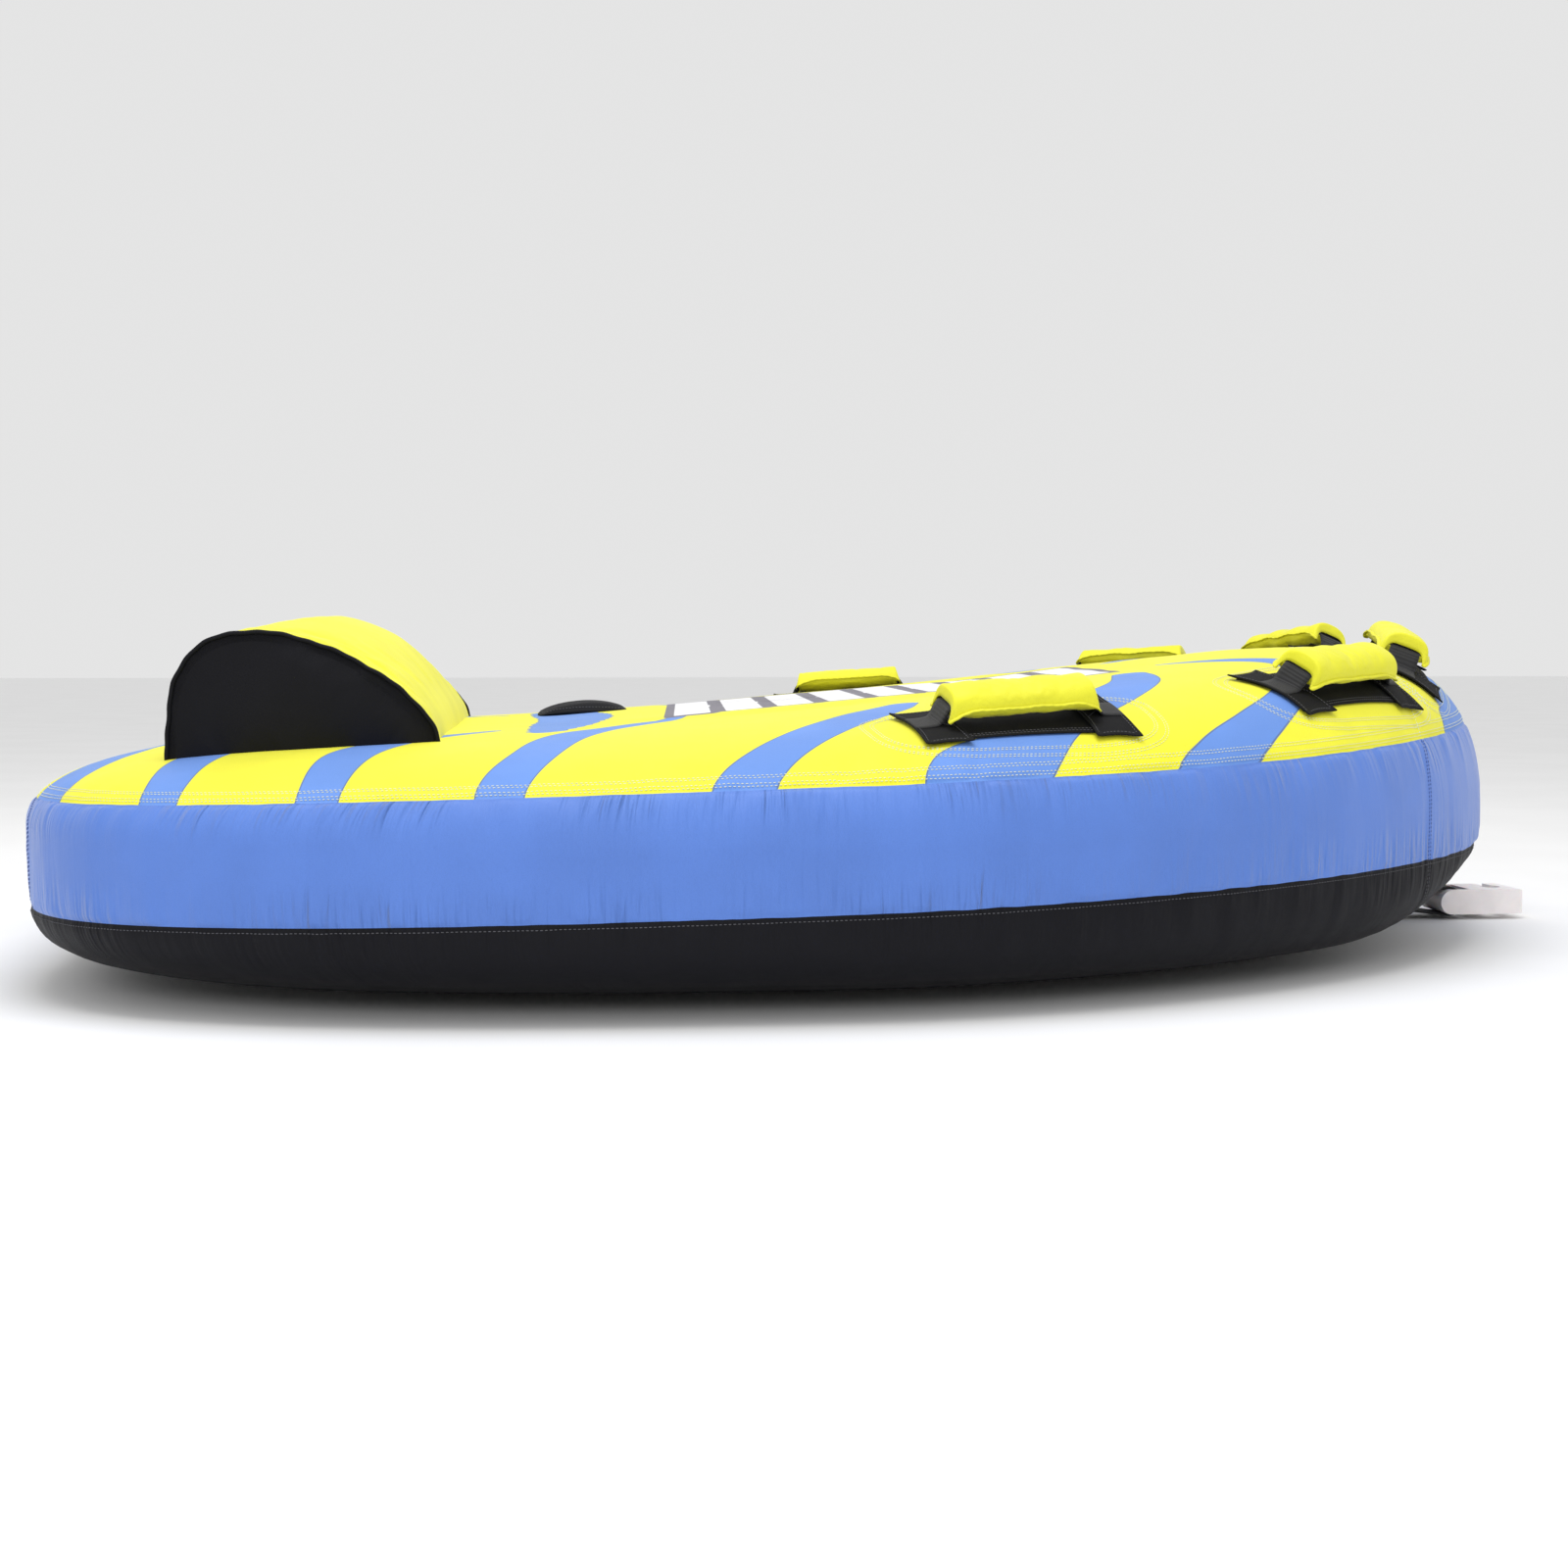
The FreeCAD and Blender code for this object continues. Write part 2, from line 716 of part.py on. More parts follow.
def piping(label, side):
    """A corded edge that follows the profile just outside the end panel's rim."""
    points = backrest_profile(-size("piping_radius") - gap)
    spline = Part.BSplineCurve()
    level = side * (size("backrest_width") / 2 - size("panel_thick"))
    raised = [Vector(point.x, level, point.z) for point in points[1:-1]]
    spline.interpolate(raised)
    path = Part.Wire(spline.toShape())
    start = spline.value(spline.FirstParameter)
    heading = spline.tangent(spline.FirstParameter)[0]
    ring = Part.Wire(Part.makeCircle(size("piping_radius"), start, heading))
    pipe = path.makePipeShell([ring], True, True)
    return cut(label, feature(label + "_whole", pipe), deck_clearance)


panel_left = end_panel("panel_left", 1)
panel_right = end_panel("panel_right", -1)
piping_left = piping("backrest_piping_left", 1)
piping_right = piping("backrest_piping_right", -1)

# ---------------------------------------------------------------- backrest valve

port_out = size("port_length") / 2
port_body = cylinder("port_body", "Dimensions.port_neck", "Dimensions.port_length", on_port(-port_out))
port_bore_tool = cylinder("port_bore_tool", "Dimensions.port_bore", HOLE_DEPTH,
                          on_port(-HOLE_DEPTH / 2))
backrest_valve = cut("backrest_valve", port_body, port_bore_tool)

# The plug is a sealing disc on a tab, just clear of the port's mouth.
plug_frame = on_port(port_out + size("plug_gap"))
plug_disc = cylinder("plug_disc", "Dimensions.port_neck", "Dimensions.plug_thick", plug_frame)
tab_start = Vector(size("port_neck") - 1, -size("plug_tab_wide") / 2, 0)
plug_tab = box("plug_tab", "Dimensions.plug_tab_long", "Dimensions.plug_tab_wide",
               "Dimensions.plug_thick", plug_frame.multiply(Placement(tab_start, Rotation())))
backrest_plug = fuse("backrest_valve_plug", plug_disc, plug_tab)

# ---------------------------------------------------------------- main valve and its flap

def on_valve(height):
    return valve_frame.multiply(Placement(Vector(0, 0, height), Rotation()))


CAP_GAP = 0.5
flange_level = -skin - gap + 0.6
neck_top = flange_level + size("valve_neck_height")
flange = cylinder("valve_flange_disc", "Dimensions.valve_flange", "Dimensions.valve_flange_thick",
                  on_valve(flange_level))
neck = cylinder("valve_neck_tube", "Dimensions.valve_neck", "Dimensions.valve_neck_height",
                on_valve(flange_level))
valve_solid = fuse("valve_solid", flange, neck)
valve_hole = cylinder("valve_hole", "Dimensions.valve_bore", HOLE_DEPTH, through_hull)
valve_base = cut("main_valve_base", valve_solid, valve_hole)
core_ring = cylinder("valve_core_ring", "Dimensions.valve_bore - Dimensions.slot_clearance",
                     "Dimensions.valve_core_thick", on_valve(-size("valve_flange_thick") / 2))
core_seat = cylinder("valve_core_seat", "Dimensions.valve_bore - Dimensions.valve_core_wall",
                     HOLE_DEPTH, through_hull)
valve_core = cut("main_valve_core", core_ring, core_seat)
plate_level = neck_top + CAP_GAP
skirt_level = plate_level - size("valve_cap_skirt")
cap_plate = cylinder("valve_cap_plate", "Dimensions.valve_cap", "Dimensions.valve_cap_thick",
                     on_valve(plate_level))
cap_skirt = cylinder("valve_cap_skirt", "Dimensions.valve_cap", "Dimensions.valve_cap_skirt",
                     on_valve(skirt_level))
cap_whole = fuse("valve_cap_whole", cap_plate, cap_skirt)
cap_room = cylinder("valve_cap_room", "Dimensions.valve_neck + 0.6", "Dimensions.valve_cap_skirt",
                    on_valve(skirt_level - 0.2))
cap_cup = cut("valve_cap_cup", cap_whole, cap_room)
grip_start = Vector(-size("valve_grip_long") / 2, -size("valve_grip_wide") / 2, 0)
grip_frame = on_valve(plate_level + size("valve_cap_thick") - 0.1)
cap_grip = box("valve_cap_grip", "Dimensions.valve_grip_long", "Dimensions.valve_grip_wide",
               "Dimensions.valve_cap_thick", grip_frame.multiply(Placement(grip_start, Rotation())))
valve_cap = fuse("main_valve_cap", cap_cup, cap_grip)

flap = new_body("valve_flap")
flap_sketch = sketch_on(flap, "XZ_Plane")
flap_half = size("flap_length") / 2
flap_rise = size("flap_rise")
flap_thick = size("flap_thick")
hem = flap_thick + 0.5
for arc_half, arc_rise in ((flap_half, flap_rise), (flap_half - hem, flap_rise - flap_thick)):
    ends = Vector(arc_half, 0, 0), Vector(-arc_half, 0, 0)
    flap_sketch.addGeometry(Part.Arc(ends[0], Vector(0, arc_rise, 0), ends[1]), False)
for side in (-1, 1):
    foot = Vector(side * flap_half, 0, 0), Vector(side * (flap_half - hem), 0, 0)
    flap_sketch.addGeometry(Part.LineSegment(*foot), False)
pad(flap, flap_sketch, "Dimensions.flap_width")
flap.Placement = on_valve(size("flap_lift"))

# ---------------------------------------------------------------- tow connector, loop and harness

tip = size("overall_length") / 2
bar_radius = size("connector_thick") / 2
pivot = Vector(tip - size("connector_length") + bar_radius, 0, size("connector_height"))

connector = new_body("quick_connector")
plan_sketch = sketch_on(connector, "XY_Plane")
draw_rectangle(plan_sketch, "Dimensions.connector_length", "Dimensions.connector_width")
pad(connector, plan_sketch, "Dimensions.connector_thick")
connector.Placement = Placement(Vector(tip - size("connector_length") / 2, 0, pivot.z), Rotation())
doc.recompute()


def round_edges(body, chosen, radius):
    base = body.Tip
    item = body.newObject("PartDesign::Fillet", body.Label + "_fillet")
    item.Base = (base, chosen)
    item.Radius = radius
    body.Tip = item
    return item


def edges_where(shape, test):
    return [f"Edge{i + 1}" for i, edge in enumerate(shape.Edges) if test(edge)]


pad_shape = connector.Tip.Shape
inner_x = -size("connector_length") / 2
bar_edges = edges_where(pad_shape, lambda e: abs(e.CenterOfMass.x - inner_x) < 0.1
                        and abs(abs(e.CenterOfMass.z) - bar_radius) < 0.1)
round_edges(connector, bar_edges, bar_radius - 0.01)
doc.recompute()
tail_edges = edges_where(connector.Tip.Shape, lambda e: abs(e.CenterOfMass.x + inner_x) < 0.1)
round_edges(connector, tail_edges, size("tail_round"))
doc.recompute()
web_slot = new_body("connector_web_slot")
web_sketch = sketch_on(web_slot, "XY_Plane")
draw_rectangle(web_sketch, "Dimensions.web_slot_long", "Dimensions.web_slot_width")
pad(web_slot, web_sketch, "Dimensions.connector_thick + 4")
web_slot.Placement = Placement(pivot + Vector(bar_radius + size("web_slot_long") / 2 - 1, 0, 0),
                               Rotation())
# Room for the loop all round the bar, so that the connector can swing in it.
across = Rotation(Vector(1, 0, 0), -90)
slot_side = Placement(pivot - Vector(0, size("web_slot_width") / 2, 0), across)
room_outer = cylinder(
    "loop_room_outer",
    "Dimensions.connector_thick / 2 + Dimensions.loop_clearance + Dimensions.loop_thick"
    " + Dimensions.loop_room", "Dimensions.web_slot_width", slot_side)
room_bar = cylinder("loop_room_bar", "Dimensions.connector_thick / 2 + 0.1",
                    "Dimensions.web_slot_width", slot_side)
loop_ring = cut("loop_ring_room", room_outer, room_bar)
ringed = cut("connector_ringed", connector, loop_ring)
slotted = cut("connector_slotted", ringed, web_slot)
eye_centre = Vector(tip - 32.0, 0, pivot.z)
rope_eye = cylinder("rope_eye", "Dimensions.rope_eye_radius", "60",
                    Placement(eye_centre - Vector(0, 0, 30), Rotation()))
eyed = cut("connector_eyed", slotted, rope_eye)
gate = box("rope_gate_block", "Dimensions.rope_gate", 60.0, 60.0,
           Placement(eye_centre - Vector(size("rope_gate") / 2, 0, 30), Rotation()))
quick_connector = cut("quick_connector_part", eyed, gate)
quick_connector.Label = "tow_quick_connector"

LOOP_ROOT = Vector(680.0, 0, 31.0)
LOOP_OUTER_ROOT = Vector(640.0, 0, 32.0)
HARNESS_REAR = 590.0
HARNESS_FRONT = 700.0


def loop_outline(radius, root):
    """A teardrop: an arc round the connector's bar, with legs that meet under the bow."""
    away = root - pivot
    distance = away.Length
    bearing = math.atan2(away.z, away.x)
    spread = math.acos(radius / distance)
    touch = []
    for sign in (1, -1):
        angle = bearing + sign * spread
        touch.append(pivot + Vector(math.cos(angle), 0, math.sin(angle)) * radius)
    far = pivot - away.normalize() * radius
    edges = [Part.Arc(touch[0], far, touch[1]).toShape()]
    edges.append(Part.LineSegment(touch[1], root).toShape())
    edges.append(Part.LineSegment(root, touch[0]).toShape())
    return Part.Wire(edges)


def flat_plate(face_outline, width):
    """A closed outline in the XZ plane, thickened equally to both sides of the centre line."""
    face = Part.Face(face_outline)
    face.translate(Vector(0, -width / 2, 0))
    return face.extrude(Vector(0, width, 0))


inner_radius = bar_radius + size("loop_clearance")
outer_radius = inner_radius + size("loop_thick")
loop_whole = flat_plate(loop_outline(outer_radius, LOOP_OUTER_ROOT), size("loop_width"))
loop_hollow = flat_plate(loop_outline(inner_radius, LOOP_ROOT), size("loop_width") + 2)
loop_raw = feature("loop_raw", loop_whole.cut(loop_hollow))
tow_loop = cut("tow_webbing_loop", loop_raw, patch_floor)

harness_start = Vector(HARNESS_REAR, -size("loop_width") / 2, -BELLY_DEPTH / 2)
harness_block = Part.makeBox(HARNESS_FRONT - HARNESS_REAR, size("loop_width"), BELLY_DEPTH,
                             harness_start)
harness = feature("tow_harness_strap", base_layer.Shape.common(harness_block).Solids[0])

# ---------------------------------------------------------------- zip

TEETH_INSET = 10.0
zip_tape = zip_strip
zip_tape.Label = "zip_tape"
teeth_wide = size("zip_teeth_width")
teeth_start = Vector(zip_x - teeth_wide / 2, TEETH_INSET - zip_half, -BELLY_DEPTH / 2)
teeth_block = Part.makeBox(teeth_wide, size("zip_length") - 2 * TEETH_INSET, BELLY_DEPTH, teeth_start)
zip_teeth = feature("zip_teeth", base_layer.Shape.common(teeth_block).Solids[0])


def belly_point(x, y):
    return Vector(x, y, bottom_height(x, ring_at(x, y)))


step = 10.0
zip_closed = size("zip_closed_place")
belly_along = belly_point(zip_x + step, zip_closed) - belly_point(zip_x - step, zip_closed)
belly_out = belly_along.normalize().cross(Vector(0, 1, 0))
if belly_out.z > 0:
    belly_out = belly_out * -1
zip_turn = Rotation(Vector(0, 1, 0).cross(belly_out), Vector(0, 1, 0), belly_out, "ZYX")
zip_frame = Placement(belly_point(zip_x, zip_closed), zip_turn)
slider_level = gap + skin + size("slider_lift")
slider_start = Vector(-size("slider_width") / 2, -size("slider_length") / 2, slider_level)
slider_body = box("slider_body", "Dimensions.slider_width", "Dimensions.slider_length",
                  "Dimensions.slider_height",
                  zip_frame.multiply(Placement(slider_start, Rotation())))
slider_rounded = doc.addObject("Part::Fillet", "slider_rounded")
slider_rounded.Base = slider_body
doc.recompute()
slider_rounded.Edges = [(i + 1, 1.5, 1.5) for i in range(12)]
slider_rounded.Label = "zip_slider"
pull_level = slider_level + size("slider_height") + 0.1
pull_start = Vector(-size("pull_width") / 2, -size("pull_length") / 3, pull_level)
pull_tab = box("zip_pull_tab", "Dimensions.pull_width", "Dimensions.pull_length",
               "Dimensions.pull_thick", zip_frame.multiply(Placement(pull_start, Rotation())))
pull_tab.Label = "zip_pull_tab"

# ---------------------------------------------------------------- checks and export

doc.recompute()
parts += [
    backrest_wrap, backrest_bladder, panel_left, panel_right, piping_left, piping_right,
    backrest_valve, backrest_plug, valve_base, valve_core, valve_cap, flap,
    quick_connector, tow_loop, harness, zip_tape, zip_teeth, slider_rounded, pull_tab,
]

for item in doc.Objects:
    if "Invalid" in item.State or "Error" in item.State:
        raise SystemExit(f"{item.Label} failed to build")

for item in parts:
    shape = item.Shape
    if shape.isNull() or not shape.isValid() or not shape.Solids:
        raise SystemExit(f"{item.Label} has no valid shape")

for item in parts:
    item.Shape.exportStep(f"parts/{item.Label}.step")
    print(f"{item.Label:34s} {len(item.Shape.Solids)} {item.Shape.Volume / 1000:10.2f} cm3")

for name, frame in handle_frames.items():
    hinge = frame.multVec(Vector(0, 0, guard_height()))
    axis = frame.Rotation.multVec(Vector(1, 0, 0))
    normal = frame.Rotation.multVec(Vector(0, 0, 1))
    print("handle", name, [round(v, 3) for v in hinge], [round(v, 5) for v in axis],
          [round(v, 5) for v in normal])
for name, frame in (("main_valve", valve_frame), ("backrest_port", port_frame), ("zip", zip_frame)):
    normal = frame.Rotation.multVec(Vector(0, 0, 1))
    along = frame.Rotation.multVec(Vector(1, 0, 0))
    print("frame", name, [round(v, 3) for v in frame.Base], [round(v, 5) for v in along],
          [round(v, 5) for v in normal])
print("tow pivot", list(pivot), "rope eye", list(eye_centre))
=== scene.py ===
import json
import math

import bmesh
import bpy
import numpy as np
from mathutils import Matrix, Vector
from mathutils.bvhtree import BVHTree


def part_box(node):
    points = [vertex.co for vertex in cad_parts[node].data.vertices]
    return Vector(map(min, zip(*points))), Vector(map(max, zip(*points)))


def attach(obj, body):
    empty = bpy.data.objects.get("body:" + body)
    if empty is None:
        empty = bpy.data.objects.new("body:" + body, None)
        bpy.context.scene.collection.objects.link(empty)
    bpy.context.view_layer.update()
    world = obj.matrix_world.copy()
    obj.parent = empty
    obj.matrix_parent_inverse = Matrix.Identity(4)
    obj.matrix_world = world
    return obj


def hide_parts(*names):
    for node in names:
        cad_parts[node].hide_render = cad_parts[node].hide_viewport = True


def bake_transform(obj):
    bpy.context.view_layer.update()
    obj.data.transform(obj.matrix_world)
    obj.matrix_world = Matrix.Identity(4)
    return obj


# Looks of the towable tube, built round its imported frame.
# Metres, +X towards the bow, +Y the rider's left, +Z up, the ground at Z = 0.

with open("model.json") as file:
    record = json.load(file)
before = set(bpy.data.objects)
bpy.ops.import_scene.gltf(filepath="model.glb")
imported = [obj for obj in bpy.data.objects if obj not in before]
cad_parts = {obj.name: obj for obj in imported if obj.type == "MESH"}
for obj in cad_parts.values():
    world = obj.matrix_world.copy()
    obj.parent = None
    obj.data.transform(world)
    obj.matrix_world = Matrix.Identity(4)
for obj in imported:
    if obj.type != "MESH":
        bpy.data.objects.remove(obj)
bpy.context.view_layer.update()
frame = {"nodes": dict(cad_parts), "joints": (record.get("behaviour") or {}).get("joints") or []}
joints = {joint["name"]: joint for joint in frame["joints"]}
HANDLES = [f"{place}_{hand}" for place in ("mid", "front", "bow") for hand in ("left", "right")]


# ---------------------------------------------------------------- camera, floor and light

CAMERA_PLACE = (-0.384, -2.62, 0.366)
CAMERA_YAW = 6.92
CAMERA_PITCH = 3.74
CAMERA_LENS = 45.24


def add_camera():
    data = bpy.data.cameras.new("camera")
    data.lens = CAMERA_LENS
    data.sensor_width = 36.0
    camera = bpy.data.objects.new("camera", data)
    bpy.context.scene.collection.objects.link(camera)
    camera.location = CAMERA_PLACE
    camera.rotation_euler = (math.radians(90 - CAMERA_PITCH), 0, math.radians(-CAMERA_YAW))
    bpy.context.scene.camera = camera


def add_area_light(name, place, target, size, power, colour=(1, 1, 1)):
    data = bpy.data.lights.new(name, "AREA")
    data.shape = "RECTANGLE"
    data.size, data.size_y = size
    data.energy = power
    data.color = colour
    light = bpy.data.objects.new(name, data)
    bpy.context.scene.collection.objects.link(light)
    light.location = place
    aim = Vector(target) - Vector(place)
    light.rotation_euler = aim.to_track_quat("-Z", "Y").to_euler()


def add_stage():
    world = bpy.data.worlds.new("studio")
    bpy.context.scene.world = world
    world.use_nodes = True
    world.node_tree.nodes["Background"].inputs["Color"].default_value = (1, 1, 1, 1)
    world.node_tree.nodes["Background"].inputs["Strength"].default_value = 0.78
    add_area_light("soft_top", (-0.3, -0.6, 3.2), (0, 0, 0.2), (2.6, 1.8), 62)
    add_area_light("soft_front", (-1.4, -3.6, 1.5), (0, 0, 0.2), (1.8, 1.0), 20)
    bpy.ops.mesh.primitive_plane_add(size=60, location=(0, 0, -0.0005))
    floor = bpy.context.object
    floor.name = "studio_floor"
    floor.data.materials.append(plain_material("floor_paper", (0.9, 0.9, 0.9), 0.9))
    bpy.context.scene.view_settings.view_transform = "Standard"


# ---------------------------------------------------------------- materials

YELLOW = (0.86, 0.83, 0.03)
DECK_BLUE = (0.13, 0.28, 0.72)
BAND_BLUE = (0.10, 0.22, 0.66)
OUTLINE_GREY = (0.10, 0.17, 0.36)
PRINT_GREY = (0.17, 0.16, 0.20)
PRINT_WHITE = (0.83, 0.83, 0.86)
BLACK = (0.0040, 0.0040, 0.0068)
THREAD = (0.78, 0.80, 0.62)
# A Wave texture of scale 1 repeats every 0.314 of its own units.
WAVE_PERIOD = 2 * math.pi / 20


class Nodes:
    """A material's node tree, with short ways to add and join nodes."""

    def __init__(self, name):
        self.material = bpy.data.materials.new(name)
        self.material.use_nodes = True
        self.tree = self.material.node_tree
        self.shader = self.tree.nodes["Principled BSDF"]

    def add(self, kind, **values):
        item = self.tree.nodes.new(kind)
        for key, value in values.items():
            setattr(item, key, value)
        return item

    def join(self, source, target):
        self.tree.links.new(source, target)

    def set(self, **values):
        for key, value in values.items():
            self.shader.inputs[key.replace("_", " ")].default_value = value

    def math(self, operation, first, second=0.5):
        item = self.add("ShaderNodeMath", operation=operation)
        for socket, value in zip(item.inputs, (first, second)):
            if isinstance(value, (int, float)):
                socket.default_value = value
            else:
                self.join(value, socket)
        return item.outputs[0]

    def step(self, value, low, high):
        """0 below low, 1 above high, and smooth in between."""
        item = self.add("ShaderNodeMapRange", interpolation_type="SMOOTHSTEP")
        self.join(value, item.inputs["Value"])
        item.inputs["From Min"].default_value = low
        item.inputs["From Max"].default_value = high
        return item.outputs[0]

    def mix(self, share, first, second):
        item = self.add("ShaderNodeMix", data_type="RGBA")
        for socket, value in ((item.inputs[0], share), (item.inputs[6], first), (item.inputs[7], second)):
            if isinstance(value, tuple):
                socket.default_value = (*value, 1)
            elif isinstance(value, (int, float)):
                socket.default_value = value
            else:
                self.join(value, socket)
        return item.outputs[2]

    def noise(self, scale, detail=3.0, where="Object"):
        coordinates = self.add("ShaderNodeTexCoord")
        item = self.add("ShaderNodeTexNoise")
        item.inputs["Scale"].default_value = scale
        item.inputs["Detail"].default_value = detail
        self.join(coordinates.outputs[where], item.inputs["Vector"])
        return item.outputs["Fac"]

    def wave(self, period, direction, where="UV", wobble=0.0):
        coordinates = self.add("ShaderNodeTexCoord")
        item = self.add("ShaderNodeTexWave", bands_direction=direction)
        item.inputs["Scale"].default_value = WAVE_PERIOD / period
        item.inputs["Distortion"].default_value = wobble
        item.inputs["Detail"].default_value = 1.0
        item.inputs["Detail Scale"].default_value = 0.2
        self.join(coordinates.outputs[where], item.inputs["Vector"])
        return item.outputs["Fac"]

    def bump(self, heights):
        """Heights are (value, depth in metres) pairs, laid on each other."""
        normal = None
        for value, depth in heights:
            item = self.add("ShaderNodeBump")
            item.inputs["Strength"].default_value = 1.0
            item.inputs["Distance"].default_value = depth
            self.join(value, item.inputs["Height"])
            if normal is not None:
                self.join(normal, item.inputs["Normal"])
            normal = item.outputs["Normal"]
        self.join(normal, self.shader.inputs["Normal"])

    def vary(self, colour, amount, scale):
        """The colour with soft lighter and darker places."""
        darker = tuple(c * (1 - amount) for c in colour) if isinstance(colour, tuple) else None
        spots = self.step(self.noise(scale), 0.35, 0.65)
        if darker is not None:
            return self.mix(spots, darker, colour)
        shade = self.mix(spots, (1 - amount,) * 3, (1.0, 1.0, 1.0))
        item = self.add("ShaderNodeMix", data_type="RGBA", blend_type="MULTIPLY")
        item.inputs[0].default_value = 1.0
        self.join(colour, item.inputs[6])
        self.join(shade, item.inputs[7])
        return item.outputs[2]


def plain_material(name, colour, roughness):
    nodes = Nodes(name)
    nodes.join(nodes.vary(colour, 0.02, 3.0), nodes.shader.inputs["Base Color"])
    nodes.set(Roughness=roughness)
    return nodes.material


GATHER_WIDTH, GATHER_LENGTH = 0.010, 0.11


def gather_heights(nodes):
    """Fine puckers beside a seam: streaks across it that fade with the distance from it."""
    coordinates = nodes.add("ShaderNodeTexCoord")
    slanted = nodes.add("ShaderNodeMapping")
    slanted.inputs["Rotation"].default_value = (0, 0, 0.14)
    slanted.inputs["Scale"].default_value = (1 / GATHER_WIDTH, 1 / GATHER_LENGTH, 1)
    nodes.join(coordinates.outputs["UV"], slanted.inputs["Vector"])
    streaks = nodes.add("ShaderNodeTexNoise")
    streaks.inputs["Scale"].default_value = 1.0
    streaks.inputs["Detail"].default_value = 1.5
    streaks.inputs["Distortion"].default_value = 0.35
    nodes.join(slanted.outputs[0], streaks.inputs["Vector"])
    gap = nodes.add("ShaderNodeAttribute", attribute_name="seam_gap").outputs["Fac"]
    fade = nodes.math("MAXIMUM", nodes.step(gap, 0.060, 0.004), 0.12)
    patches = nodes.step(nodes.noise(7.0, 1.0), 0.32, 0.60)
    strength = nodes.math("MULTIPLY", fade, nodes.math("MAXIMUM", patches, 0.25))
    return nodes.math("MULTIPLY", nodes.math("SUBTRACT", streaks.outputs["Fac"], 0.5), strength)


def cloth_material(name, colour, period=0.0011, depth=0.00007, sheen=0.10, roughness=0.62,
                   shine=0.35, gathered=0.0):
    """Coated woven nylon: warp and weft threads, grain between them, and slight fading."""
    nodes = Nodes(name)
    base = colour(nodes) if callable(colour) else colour
    grain = nodes.noise(900.0, 2.0)
    warp = nodes.wave(period, "X", wobble=0.6)
    weft = nodes.wave(period, "Y", wobble=0.6)
    faded = nodes.vary(base, 0.07, 9.0)
    speckled = nodes.mix(nodes.step(grain, 0.35, 0.75), faded, nodes.vary(faded, 0.10, 1400.0))
    nodes.join(speckled, nodes.shader.inputs["Base Color"])
    rough = nodes.add("ShaderNodeMapRange")
    nodes.join(nodes.noise(24.0), rough.inputs["Value"])
    rough.inputs["To Min"].default_value = roughness - 0.08
    rough.inputs["To Max"].default_value = roughness + 0.08
    nodes.join(rough.outputs[0], nodes.shader.inputs["Roughness"])
    heights = [(nodes.math("MULTIPLY", warp, weft), depth), (grain, depth * 2.0)]
    if gathered:
        heights.insert(0, (gather_heights(nodes), gathered))
    nodes.bump(heights)
    nodes.set(Sheen_Weight=sheen, Sheen_Roughness=0.4, Specular_IOR_Level=shine)
    return nodes.material


def printed_colour(nodes):
    """Yellow cloth with blue stripes and white bars, all in thin dark outlines."""
    stripe = nodes.add("ShaderNodeAttribute", attribute_name="stripe_edge").outputs["Fac"]
    bars = nodes.add("ShaderNodeAttribute", attribute_name="bar_edge").outputs["Fac"]
    striped = nodes.mix(nodes.step(stripe, -0.0005, 0.0005), YELLOW, DECK_BLUE)
    line = nodes.step(nodes.math("ABSOLUTE", stripe), 0.0011, 0.0004)
    lined = nodes.mix(line, striped, OUTLINE_GREY)
    backed = nodes.mix(nodes.step(bars, -0.0125, -0.0115), lined, PRINT_GREY)
    return nodes.mix(nodes.step(bars, -0.0005, 0.0005), backed, PRINT_WHITE)


def webbing_material(name, colour, rib=0.0022):
    """Woven strap: ribs across it and finer threads along it, with painted shade darkening the grooves
    between the ribs.
    """
    nodes = Nodes(name)
    ribs = nodes.wave(rib, "X", wobble=0.3)
    threads = nodes.wave(rib * 0.6, "Y", wobble=0.3)
    # Painted shade: the colour falls to 0.55 in the troughs of the same ribs that the bump raises, where
    # shade falls.
    shade = nodes.mix(nodes.step(ribs, 0.1, 0.9), tuple(c * 0.55 for c in colour), colour)
    nodes.join(nodes.vary(shade, 0.2, 60.0), nodes.shader.inputs["Base Color"])
    nodes.bump([(ribs, 0.0004), (threads, 0.0002)])
    nodes.set(Roughness=0.7, Sheen_Weight=0.08)
    return nodes.material


def plastic_material(name, colour, roughness=0.42, bleed=0.15):
    """Moulded plastic with a fine texture, handling marks and slightly uneven gloss."""
    nodes = Nodes(name)
    nodes.join(nodes.vary(colour, 0.06, 35.0), nodes.shader.inputs["Base Color"])
    marks = nodes.step(nodes.noise(160.0, 6.0), 0.42, 0.62)
    rough = nodes.add("ShaderNodeMapRange")
    nodes.join(marks, rough.inputs["Value"])
    rough.inputs["To Min"].default_value = roughness - 0.08
    rough.inputs["To Max"].default_value = roughness + 0.12
    nodes.join(rough.outputs[0], nodes.shader.inputs["Roughness"])
    nodes.bump([(nodes.noise(700.0, 2.0), 0.00012), (marks, 0.00003)])
    nodes.set(Subsurface_Weight=bleed, Subsurface_Scale=0.004, Specular_IOR_Level=0.45)
    return nodes.material


def film_material(name, colour):
    """Welded vinyl film, slightly milky and glossy."""
    nodes = Nodes(name)
    nodes.join(nodes.vary(colour, 0.12, 14.0), nodes.shader.inputs["Base Color"])
    nodes.bump([(nodes.noise(40.0, 4.0), 0.0004)])
    nodes.set(Roughness=0.28, Coat_Weight=0.3)
    return nodes.material


